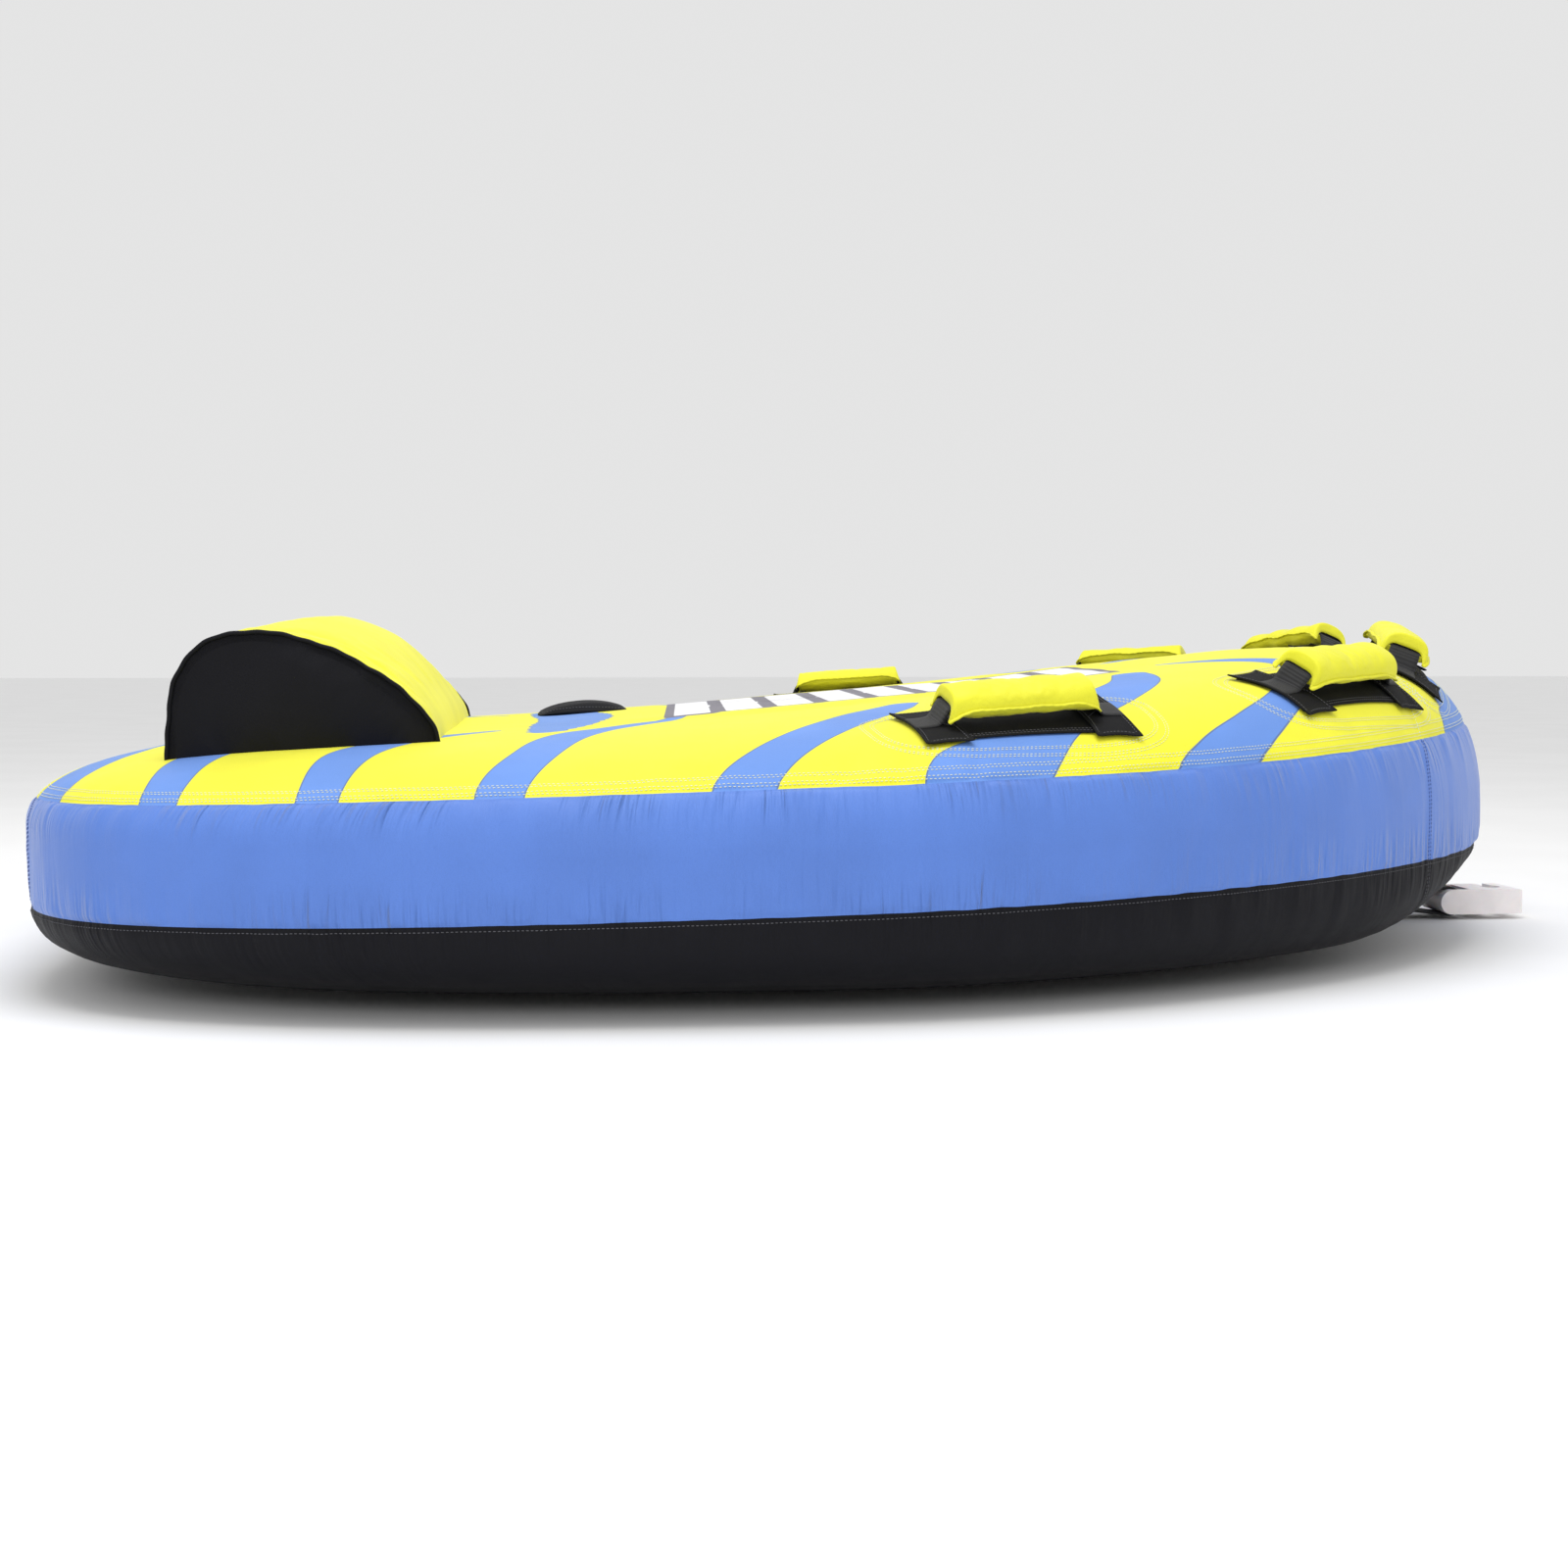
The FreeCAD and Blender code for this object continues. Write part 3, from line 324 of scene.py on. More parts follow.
def metal_material(name, colour):
    nodes = Nodes(name)
    nodes.join(nodes.vary(colour, 0.2, 120.0), nodes.shader.inputs["Base Color"])
    scuffs = nodes.noise(500.0, 5.0)
    rough = nodes.add("ShaderNodeMapRange")
    nodes.join(scuffs, rough.inputs["Value"])
    rough.inputs["To Min"].default_value = 0.2
    rough.inputs["To Max"].default_value = 0.5
    nodes.join(rough.outputs[0], nodes.shader.inputs["Roughness"])
    nodes.bump([(scuffs, 0.00006)])
    nodes.set(Metallic=1.0)
    return nodes.material


def foam_material(name, colour):
    nodes = Nodes(name)
    nodes.join(nodes.vary(colour, 0.25, 500.0), nodes.shader.inputs["Base Color"])
    nodes.bump([(nodes.noise(700.0, 2.0), 0.0005)])
    nodes.set(Roughness=0.95)
    return nodes.material


DECK_CLOTH = cloth_material("printed_deck_nylon", printed_colour)
WRAP_CLOTH = cloth_material("yellow_nylon", YELLOW, roughness=0.55)
GUARD_CLOTH = cloth_material("guard_nylon", (0.82, 0.80, 0.03), roughness=0.55)
BAND_CLOTH = cloth_material("blue_nylon", BAND_BLUE, depth=0.00012, sheen=0.3, roughness=0.5,
                            gathered=0.011)
BLACK_CLOTH = cloth_material("black_nylon", BLACK, depth=0.00012, sheen=0.0, roughness=0.55, shine=0.14)
BELLY_CLOTH = cloth_material("black_belly_nylon", BLACK, depth=0.00012, sheen=0.0, roughness=0.55,
                             shine=0.16, gathered=0.008)
BASE_CLOTH = cloth_material("black_base_nylon", (0.007, 0.007, 0.008), 0.0016, 0.0002, 0.0, 0.7, 0.14)
WEBBING = webbing_material("black_webbing", (0.012, 0.012, 0.014))
THREAD_PALE = plain_material("pale_thread", THREAD, 0.6)
THREAD_BLUE = plain_material("blue_thread", (0.03, 0.07, 0.26), 0.6)
THREAD_GREY = plain_material("grey_thread", (0.10, 0.10, 0.11), 0.6)
WHITE_PLASTIC = plastic_material("white_plastic", (0.93, 0.88, 0.87))
VALVE_PLASTIC = plastic_material("valve_plastic", (0.05, 0.05, 0.055), bleed=0.0)
FILM = film_material("bladder_film", (0.55, 0.58, 0.60))
FOAM = foam_material("closed_cell_foam", (0.03, 0.03, 0.032))
ZIP_METAL = metal_material("zip_metal", (0.55, 0.55, 0.57))


# ---------------------------------------------------------------- mesh helpers

def new_piece(name, points, faces, material, uvs=None, smooth=True):
    """A mesh object from points and faces; uvs holds one (u, v) for each point."""
    mesh = bpy.data.meshes.new(name)
    mesh.from_pydata([tuple(p) for p in points], [], [tuple(f) for f in faces])
    if uvs is not None:
        layer = mesh.uv_layers.new(name="cloth")
        order = np.empty(len(mesh.loops), int)
        mesh.loops.foreach_get("vertex_index", order)
        layer.data.foreach_set("uv", np.asarray(uvs, float)[order].ravel())
    mesh.materials.append(material)
    mesh.polygons.foreach_set("use_smooth", [smooth] * len(mesh.polygons))
    mesh.update()
    piece = bpy.data.objects.new(name, mesh)
    bpy.context.scene.collection.objects.link(piece)
    return piece


def grid_faces(across, along, closed=False, start=0):
    """Quads of a grid whose point number is start + column * along + row."""
    faces = []
    for column in range(across if closed else across - 1):
        following = (column + 1) % across
        for row in range(along - 1):
            a = start + column * along + row
            b = start + following * along + row
            faces.append((a, b, b + 1, a + 1))
    return faces


def keep_side(piece, place, normal):
    """Cuts a piece by a plane and keeps what is on the normal's side."""
    mesh = bmesh.new()
    mesh.from_mesh(piece.data)
    everything = mesh.verts[:] + mesh.edges[:] + mesh.faces[:]
    bmesh.ops.bisect_plane(mesh, geom=everything, plane_co=place, plane_no=normal, clear_inner=True)
    mesh.to_mesh(piece.data)
    mesh.free()
    return piece


def copy_of(piece, name):
    twin = piece.copy()
    twin.data = piece.data.copy()
    twin.name = name
    bpy.context.scene.collection.objects.link(twin)
    return twin


def thicken(piece, thickness, offset=-1.0):
    modifier = piece.modifiers.new("thickness", "SOLIDIFY")
    modifier.thickness = thickness
    modifier.offset = offset
    return piece


def soften(piece, levels=1):
    modifier = piece.modifiers.new("soft", "SUBSURF")
    modifier.levels = levels
    modifier.render_levels = levels
    return piece


def resampled(line, pitch):
    """Points along a line of points at an even pitch, and the way it runs there."""
    line = np.asarray(line, float)
    run = np.concatenate([[0.0], np.cumsum(np.linalg.norm(np.diff(line, axis=0), axis=1))])
    marks = np.arange(pitch / 2, run[-1], pitch)
    points = np.stack([np.interp(marks, run, line[:, i]) for i in range(3)], axis=1)
    ahead = np.stack([np.interp(marks + pitch / 4, run, line[:, i]) for i in range(3)], axis=1)
    behind = np.stack([np.interp(marks - pitch / 4, run, line[:, i]) for i in range(3)], axis=1)
    ways = ahead - behind
    return points, ways / np.maximum(np.linalg.norm(ways, axis=1, keepdims=True), 1e-9)


STITCH_PITCH = 0.0046
STITCH_LENGTH = 0.0034
STITCH_RADIUS = 0.00045
STITCH_SIDES = 4


def stitch_rows(name, lines, material, body, pitch=STITCH_PITCH):
    """Real thread stitches along lines of points, each a short spindle."""
    points, faces = [], []
    for line in lines:
        places, ways = resampled(line, pitch)
        for place, way in zip(places, ways):
            side = np.cross(way, (0.31, 0.17, 0.93))
            side /= np.linalg.norm(side)
            up = np.cross(side, way)
            start = len(points)
            points.append(place - way * STITCH_LENGTH / 2)
            for along in (-STITCH_LENGTH / 4, STITCH_LENGTH / 4):
                for k in range(STITCH_SIDES):
                    angle = 2 * math.pi * k / STITCH_SIDES
                    out = side * math.cos(angle) + up * math.sin(angle)
                    points.append(place + way * along + out * STITCH_RADIUS)
            points.append(place + way * STITCH_LENGTH / 2)
            end = len(points) - 1
            for k in range(STITCH_SIDES):
                near, far = start + 1 + k, start + 1 + (k + 1) % STITCH_SIDES
                faces.append((start, far, near))
                faces.append((near, far, far + STITCH_SIDES, near + STITCH_SIDES))
                faces.append((near + STITCH_SIDES, far + STITCH_SIDES, end))
    piece = new_piece(name, points, faces, material)
    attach(piece, body)
    return piece


# ---------------------------------------------------------------- hull form

STERN_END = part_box("stern_band")[0].x
BOW_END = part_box("bow_band")[1].x
HALF_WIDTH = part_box("side_band_left")[1].y
WIDEST = -0.0625
STERN_POWER_LONG, STERN_POWER_WIDE = 2.64, 4.74
BOW_POWER_LONG, BOW_POWER_WIDE = 1.685, 1.916
SHOULDER_SPREAD, SHOULDER_POWER = 7.0, 2.375
BILGE_SPREAD, BILGE_POWER = 2.675, 6.54
FLAT_SHARE = 0.62
BOW_SEAM = 0.640
STERN_SEAM = -0.930


def deck_line(x):
    return 0.307 + 0.093 * x + 0.0604 * x * x


def waist_line(x):
    return 0.1704 - 0.0092 * x


def keel_line(x):
    return 1.18 * np.maximum(0.0, x - 0.509) ** 2


def top_seam_line(x):
    return 0.239 + 0.0286 * x + 0.05 * np.maximum(0.0, x - 0.2) ** 2


def bottom_seam_line(x):
    return 0.1122 + 0.0211 * x


def signed_power(value, power):
    return np.sign(value) * np.abs(value) ** power


def outline(angle):
    cosine, sine = np.cos(angle), np.sin(angle)
    ahead = cosine > 0
    reach = np.where(ahead, BOW_END - WIDEST, WIDEST - STERN_END)
    long_power = np.where(ahead, BOW_POWER_LONG, STERN_POWER_LONG)
    wide_power = np.where(ahead, BOW_POWER_WIDE, STERN_POWER_WIDE)
    x = WIDEST + reach * signed_power(cosine, 2 / long_power)
    return x, HALF_WIDTH * signed_power(sine, 2 / wide_power)


def top_height(x, ring):
    share = (1 - ring ** SHOULDER_SPREAD) ** (1 / SHOULDER_POWER)
    return waist_line(x) + (deck_line(x) - waist_line(x)) * share


def bottom_height(x, ring):
    full = (1 - FLAT_SHARE ** BILGE_SPREAD) ** (1 / BILGE_POWER)
    share = (1 - ring ** BILGE_SPREAD) ** (1 / BILGE_POWER) / full
    return np.maximum(0.0, waist_line(x) - (waist_line(x) - keel_line(x)) * share)


COLUMNS = 1100
DECK_ROWS, BAND_ROWS, BELLY_ROWS = 84, 34, 60
INNER_RING = 0.012


def even_outline():
    """Outline points at an even spacing, and how far round each one is."""
    angle = np.linspace(0, 2 * math.pi, 7201)
    x, y = outline(angle)
    run = np.concatenate([[0.0], np.cumsum(np.hypot(np.diff(x), np.diff(y)))])
    marks = np.arange(COLUMNS) * run[-1] / COLUMNS
    return np.interp(marks, run, x), np.interp(marks, run, y), marks, run[-1]


def sections(out_x, out_y):
    """Each column's section, from the deck's middle over the side to the belly's middle."""
    share = np.linspace(0, 1, 260)
    outward = INNER_RING + (1 - INNER_RING) * (1 - (1 - share) ** 3)
    rings = np.concatenate([outward, outward[-2::-1]])
    x = WIDEST + rings[None] * (out_x[:, None] - WIDEST)
    y = rings[None] * out_y[:, None]
    turn = len(outward)
    z = np.empty_like(x)
    z[:, :turn] = top_height(x[:, :turn], rings[None, :turn])
    z[:, turn:] = bottom_height(x[:, turn:], rings[None, turn:])
    return np.stack([x, y, z], axis=2)


def seam_places(points, run, seam_line):
    """How far along each section its height first falls below a seam line."""
    above = points[:, :, 2] - seam_line(points[:, :, 0])
    first = np.argmax(above < 0, axis=1)
    column = np.arange(len(points))
    high, low = above[column, first - 1], above[column, first]
    share = high / (high - low)
    return run[column, first - 1] + share * (run[column, first] - run[column, first - 1])


class LatticeNoise:
    """Smooth seeded noise, periodic round the hull, from -1 to 1."""

    def __init__(self, seed, around):
        self.random = np.random.default_rng(seed)
        self.around = around

    def at(self, u, v, wide, high):
        across = max(3, round(self.around / wide))
        values = self.random.uniform(-1, 1, (across, 64))
        s = np.mod(u / self.around, 1.0) * across
        t = np.mod(v / high + 7.3, 63.0)
        i, j = np.floor(s).astype(int), np.floor(t).astype(int)
        a, b = s - i, t - j
        a, b = a * a * (3 - 2 * a), b * b * (3 - 2 * b)
        i, following = i % across, (i + 1) % across
        lower = values[i, j] * (1 - a) + values[following, j] * a
        upper = values[i, (j + 1) % 64] * (1 - a) + values[following, (j + 1) % 64] * a
        return lower * (1 - b) + upper * b


def gathers(noise, around, distance, depth):
    """Puckers that run away from a seam and fade; distance is zero on the seam."""
    patchy = 0.35 + 0.65 * noise.at(around, 0 * distance, 0.22, 1.0) ** 2
    lean = 0.5 * noise.at(around, 0 * distance, 0.5, 1.0)
    slid = around + lean * distance
    fine = noise.at(slid, distance, 0.009, 0.20) * np.exp(-distance / 0.014) * 0.45
    broad = noise.at(slid, distance, 0.020, 0.30) * np.exp(-distance / 0.038)
    return depth * patchy * (fine + broad) * (1 - np.exp(-distance / 0.003))


def groove(distance, depth, width):
    return -depth * np.exp(-(distance / width) ** 2)


def hull_grid():
    """The whole hull as a plain grid of columns and rows, with each point's place round the hull and its
    distances below the two seams; crumple adds the creases and puckers.
    """
    out_x, out_y, marks, around = even_outline()
    section = sections(out_x, out_y)
    steps = np.linalg.norm(np.diff(section, axis=1), axis=2)
    run = np.concatenate([np.zeros((COLUMNS, 1)), np.cumsum(steps, axis=1)], axis=1)
    top = seam_places(section, run, top_seam_line)
    bottom = seam_places(section, run, bottom_seam_line)
    t = np.linspace(0, 1, DECK_ROWS)
    deck_share = 1 - (1 - t) ** 1.5
    t = np.linspace(0, 1, BAND_ROWS)
    band_share = t - 0.12 * np.sin(2 * math.pi * t)
    t = np.linspace(0, 1, BELLY_ROWS)
    belly_share = t ** 1.5
    places = np.concatenate([
        top[:, None] * deck_share[None],
        (top[:, None] + (bottom - top)[:, None] * band_share[None])[:, 1:],
        (bottom[:, None] + (run[:, -1] - bottom)[:, None] * belly_share[None])[:, 1:],
    ], axis=1)
    grid = np.empty((COLUMNS, places.shape[1], 3))
    for column in range(COLUMNS):
        for axis in range(3):
            grid[column, :, axis] = np.interp(places[column], run[column], section[column, :, axis])
    around_grid = np.repeat(marks[:, None], places.shape[1], axis=1)
    below_top = places - top[:, None]
    below_bottom = places - bottom[:, None]
    return grid, around_grid, below_top, below_bottom, around


def grid_normals(grid):
    sideways = np.roll(grid, -1, axis=0) - np.roll(grid, 1, axis=0)
    downwards = np.gradient(grid, axis=1)
    normal = np.cross(downwards, sideways)
    return normal / np.maximum(np.linalg.norm(normal, axis=2, keepdims=True), 1e-12)


def crumple(grid, around_grid, below_top, below_bottom, around):
    """Moves the grid's points along their normals by seams, gathers and soft waves."""
    noise = LatticeNoise(11, around)
    on_deck = below_top <= 0
    on_belly = below_bottom >= 0
    on_band = ~on_deck & ~on_belly
    x = grid[:, :, 0]
    lift = 0.0006 * noise.at(around_grid, below_top, 0.12, 0.09)
    lift += np.where(on_deck, gathers(noise, around_grid, np.maximum(0, -below_top), 0.0022), 0)
    lift += np.where(on_band, gathers(noise, around_grid, np.maximum(0, below_top), 0.0062), 0)
    lift += np.where(on_band, gathers(noise, around_grid, np.maximum(0, -below_bottom), 0.0074), 0)
    lift += np.where(on_belly, gathers(noise, around_grid, np.maximum(0, below_bottom), 0.0055), 0)
    middle = (below_top + below_bottom) / 2
    crease_height = 0.004 * noise.at(around_grid, 0 * middle, 0.5, 1.0)
    crease_depth = 0.0009 * (0.4 + 0.6 * np.abs(noise.at(around_grid, 0 * middle, 0.3, 1.0)))
    lift += np.where(on_band, crease_depth * np.exp(-((middle - crease_height) / 0.006) ** 2), 0)
    lift += groove(below_top, 0.0022, 0.0045) + groove(below_bottom, 0.0020, 0.0045)
    lift += groove(x - BOW_SEAM, 0.0012, 0.006)
    lift += np.where(on_band, groove(x - STERN_SEAM, 0.0012, 0.006), 0)
    moved = grid + grid_normals(grid) * lift[:, :, None]
    moved[:, :, 2] = np.maximum(moved[:, :, 2], 0.0)
    return moved


FILM_CLEARANCE = 0.0024


def clear_of_bladder(grid):
    """Moves the cloth outwards wherever it would lie in or under the bladder's film."""
    bladder = frame["nodes"]["main_bladder"].data
    bladder.calc_loop_triangles()
    tree = BVHTree.FromPolygons([v.co.copy() for v in bladder.vertices],
                                [tuple(t.vertices) for t in bladder.loop_triangles])
    reach = 0.05
    normals = grid_normals(grid)
    for column in range(COLUMNS):
        for row in range(grid.shape[1]):
            place, normal = Vector(grid[column, row]), Vector(normals[column, row])
            distance = tree.ray_cast(place + normal * reach, -normal, 2 * reach)[3]
            if distance is not None and distance < reach + FILM_CLEARANCE:
                grid[column, row] = place + normal * (reach + FILM_CLEARANCE - distance)
    grid[:, :, 2] = np.maximum(grid[:, :, 2], 0.0)
    return grid


plain_grid, around_grid, below_top, below_bottom, hull_around = hull_grid()
hull = clear_of_bladder(crumple(plain_grid, around_grid, below_top, below_bottom, hull_around))
ROWS = hull.shape[1]
hull_tree = BVHTree.FromPolygons(
    [tuple(p) for p in hull.reshape(-1, 3)],
    [(a, d, c, b) for a, b, c, d in grid_faces(COLUMNS, ROWS, closed=True)])


def landing(place, way, back=0.12):
    """Where a ray that starts a little behind a place meets the hull, and the normal there."""
    way = Vector(way).normalized()
    hit, normal, _, _ = hull_tree.ray_cast(Vector(place) - way * back, way, 1.0)
    if hit is None:
        return Vector(place), -way
    return hit, normal if normal.dot(way) < 0 else -normal


# ---------------------------------------------------------------- deck print

# Stripes of the left half, mirrored to the right: (x, distance from the middle, half width).
STRIPES = [
    [(-0.925, 0.500, 0.034), (-0.895, 0.400, 0.032), (-0.880, 0.300, 0.028), (-0.872, 0.0, 0.022)],
    [(-0.785, 0.660, 0.020), (-0.768, 0.582, 0.022), (-0.748, 0.445, 0.028), (-0.700, 0.36, 0.032)],
    [(-0.620, 0.700, 0.020), (-0.606, 0.641, 0.022), (-0.576, 0.493, 0.028), (-0.500, 0.360, 0.014),
     (-0.440, 0.280, 0.006)],
    [(-0.435, 0.720, 0.023), (-0.427, 0.669, 0.024), (-0.395, 0.589, 0.025), (-0.353, 0.459, 0.026),
     (-0.285, 0.330, 0.016), (-0.175, 0.180, 0.003)],
    [(-0.214, 0.730, 0.027), (-0.188, 0.688, 0.027), (-0.152, 0.640, 0.026), (-0.070, 0.531, 0.029),
     (-0.010, 0.440, 0.030), (0.030, 0.360, 0.018)],
    [(0.020, 0.720, 0.036), (0.040, 0.683, 0.038), (0.096, 0.646, 0.038), (0.147, 0.580, 0.038),
     (0.235, 0.484, 0.034), (0.300, 0.380, 0.030), (0.330, 0.260, 0.020)],
    [(0.250, 0.680, 0.022), (0.325, 0.602, 0.020), (0.387, 0.543, 0.020), (0.449, 0.470, 0.018),
     (0.505, 0.380, 0.020), (0.520, 0.290, 0.022), (0.475, 0.200, 0.018), (0.410, 0.130, 0.006)],
]
NOSE_STRIPE = [(0.740, 0.345, 0.030), (0.770, 0.250, 0.038), (0.795, 0.120, 0.044), (0.802, 0.0, 0.046)]
SPLASH = [(-0.385, 0.380, 0.012), (-0.360, 0.200, 0.034), (-0.345, 0.060, 0.040), (-0.345, 0.0, 0.040)]
SCALLOP_LENGTH, SCALLOP_DEPTH = 0.040, 0.009

# White bars down the middle of the deck: first place, pitch, half length and half width.
BAR_COUNT = 9
BAR_START, BAR_PITCH = -0.190, 0.064
BAR_HALF_LONG, BAR_HALF_WIDE, BAR_LEAN = 0.0225, 0.235, 0.07


def smooth_stroke(stations, parts=8):
    """A stroke's stations, rounded by a Catmull-Rom curve."""
    stations = np.array(stations, float)
    padded = np.vstack([2 * stations[0] - stations[1], stations, 2 * stations[-1] - stations[-2]])
    rounded = []
    for a, b, c, d in zip(padded, padded[1:], padded[2:], padded[3:]):
        for t in np.arange(parts) / parts:
            rounded.append(0.5 * (2 * b + (c - a) * t + (2 * a - 5 * b + 4 * c - d) * t ** 2
                                  + (3 * b - a - 3 * c + d) * t ** 3))
    return np.array(rounded + [stations[-1]])


def stroke_depth(x, y, stations, scallop=0.0):
    """How far inside a stroke a plan point is; negative outside."""
    best = np.full(x.shape, -1.0)
    far = 0.0
    stations = smooth_stroke(stations)
    for a, b in zip(stations, stations[1:]):
        along = b[:2] - a[:2]
        length = max(float(np.hypot(*along)), 1e-6)
        share = np.clip(((x - a[0]) * along[0] + (y - a[1]) * along[1]) / length ** 2, 0, 1)
        width = a[2] + share * (b[2] - a[2])
        if scallop:
            width = width + scallop * np.abs(np.sin((far + share * length) / SCALLOP_LENGTH * math.pi))
        distance = np.hypot(x - a[0] - share * along[0], y - a[1] - share * along[1])
        best = np.maximum(best, width - distance)
        far += length
    return best


def stripe_depth(x, y):
    side = np.abs(y)
    depth = stroke_depth(x, side, NOSE_STRIPE, SCALLOP_DEPTH)
    depth = np.maximum(depth, stroke_depth(x, side, SPLASH, SCALLOP_DEPTH))
    for stripe in STRIPES:
        depth = np.maximum(depth, stroke_depth(x, side, stripe))
    return depth


def bar_depth(x, y):
    """How far inside a white bar a plan point is; the bars lean and shorten towards the ends."""
    best = np.full(x.shape, -1.0)
    for number in range(BAR_COUNT):
        centre = BAR_START + number * BAR_PITCH
        half_wide = BAR_HALF_WIDE * (1 - 0.035 * number)
        along = x - centre - BAR_LEAN * y
        inside = np.minimum(BAR_HALF_LONG - np.abs(along), half_wide - np.abs(y))
        best = np.maximum(best, inside)
    return best


# ---------------------------------------------------------------- hull cover panels

def hull_part(name, first_row, last_row, material, plan_uv, centre=None):
    """The hull's rows from first to last as a piece; centre closes its middle."""
    part = hull[:, first_row:last_row + 1]
    rows = part.shape[1]
    points = part.reshape(-1, 3)
    faces = [(a, d, c, b) for a, b, c, d in grid_faces(COLUMNS, rows, closed=True)]
    if plan_uv:
        uvs = points[:, :2].copy()
    else:
        uvs = np.stack([around_grid[:, first_row:last_row + 1].ravel(),
                        below_top[:, first_row:last_row + 1].ravel()], axis=1)
    if centre is not None:
        row = 0 if centre == "first" else rows - 1
        ring = [column * rows + row for column in range(COLUMNS)]
        middle = points[ring].mean(axis=0)
        points = np.vstack([points, middle])
        uvs = np.vstack([uvs, middle[:2]])
        for column in range(COLUMNS):
            pair = (ring[column], ring[(column + 1) % COLUMNS])
            faces.append((*pair, len(points) - 1) if centre == "first" else (*pair[::-1], len(points) - 1))
    gap = np.minimum(np.abs(below_top), np.abs(below_bottom))[:, first_row:last_row + 1].ravel()
    gap = np.append(gap, np.ones(len(points) - len(gap)))
    piece = new_piece(name, points, faces, material, uvs)
    attribute = piece.data.attributes.new("seam_gap", "FLOAT", "POINT")
    attribute.data.foreach_set("value", gap.astype(np.float32))
    return piece


def set_print(piece):
    points = np.array([v.co for v in piece.data.vertices], float)
    for name, values in (("stripe_edge", stripe_depth(points[:, 0], points[:, 1])),
                         ("bar_edge", bar_depth(points[:, 0], points[:, 1]))):
        attribute = piece.data.attributes.new(name, "FLOAT", "POINT")
        attribute.data.foreach_set("value", values.astype(np.float32))


def cover_panel(piece, node):
    """One sewn cover panel: named after its node, hung on the root body, with the node's own mesh hidden.
    """
    piece.name = node + "_cloth"
    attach(piece, "root")
    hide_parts(node)
    return piece


def make_cover():
    top_row, bottom_row = DECK_ROWS - 1, DECK_ROWS + BAND_ROWS - 2
    deck = hull_part("deck", 0, top_row, DECK_CLOTH, True, "first")
    set_print(deck)
    nose = keep_side(copy_of(deck, "nose"), (BOW_SEAM, 0, 0), (1, 0, 0))
    keep_side(deck, (BOW_SEAM, 0, 0), (-1, 0, 0))
    cover_panel(deck, "top_cover")
    cover_panel(nose, "nose_cover")
    band = hull_part("band", top_row, bottom_row, BAND_CLOTH, False)
    bow = keep_side(copy_of(band, "bow"), (BOW_SEAM, 0, 0), (1, 0, 0))
    stern = keep_side(copy_of(band, "stern"), (STERN_SEAM, 0, 0), (-1, 0, 0))
    keep_side(band, (BOW_SEAM, 0, 0), (-1, 0, 0))
    keep_side(band, (STERN_SEAM, 0, 0), (1, 0, 0))
    left = keep_side(copy_of(band, "left"), (0, 0, 0), (0, 1, 0))
    keep_side(band, (0, 0, 0), (0, -1, 0))
    cover_panel(left, "side_band_left")
    cover_panel(band, "side_band_right")
    cover_panel(bow, "bow_band")
    cover_panel(stern, "stern_band")
    belly = hull_part("belly", bottom_row, ROWS - 1, BELLY_CLOTH, False, "last")
    chin = keep_side(copy_of(belly, "chin"), (BOW_SEAM, 0, 0), (1, 0, 0))
    keep_side(belly, (BOW_SEAM, 0, 0), (-1, 0, 0))
    cover_panel(belly, "bottom_cover")
    cover_panel(chin, "nose_bottom_cover")


def row_at(distance, grid_distance, inside_rows, lift=0.0003):
    """A closed line of points on the hull at one distance from a seam."""
    normals = grid_normals(hull)
    line = []
    for column in range(COLUMNS):
        places = grid_distance[column, inside_rows]
        point = [np.interp(distance, places, hull[column, inside_rows, axis]) for axis in range(3)]
        row = inside_rows.start + int(np.argmin(np.abs(places - distance)))
        line.append(np.array(point) + normals[column, row] * lift)
    line.append(line[0])
    return np.array(line)


def section_line(x, side, low_row, high_row, lift=0.0003):
    """The hull's line at one X on one side, between two rows, as points."""
    line = []
    normals = grid_normals(hull)
    half = COLUMNS // 2
    columns = range(0, half) if side > 0 else range(half, COLUMNS)
    columns = list(columns)
    for row in range(low_row, high_row + 1):
        xs = hull[columns, row, 0]
        order = np.argsort(xs)
        if not xs[order[0]] <= x <= xs[order[-1]]:
            continue
        index = columns[order[int(np.searchsorted(xs[order], x))]]
        near = [np.interp(x, xs[order], hull[columns, row, axis][order]) for axis in range(3)]
        line.append(np.array(near) + normals[index, row] * lift)
    return np.array(line)


TOP_STITCH_ROWS = (-0.0045, -0.0080, -0.0160, -0.0195)
SEAM_STITCH_GAPS = (0.005, 0.0085)


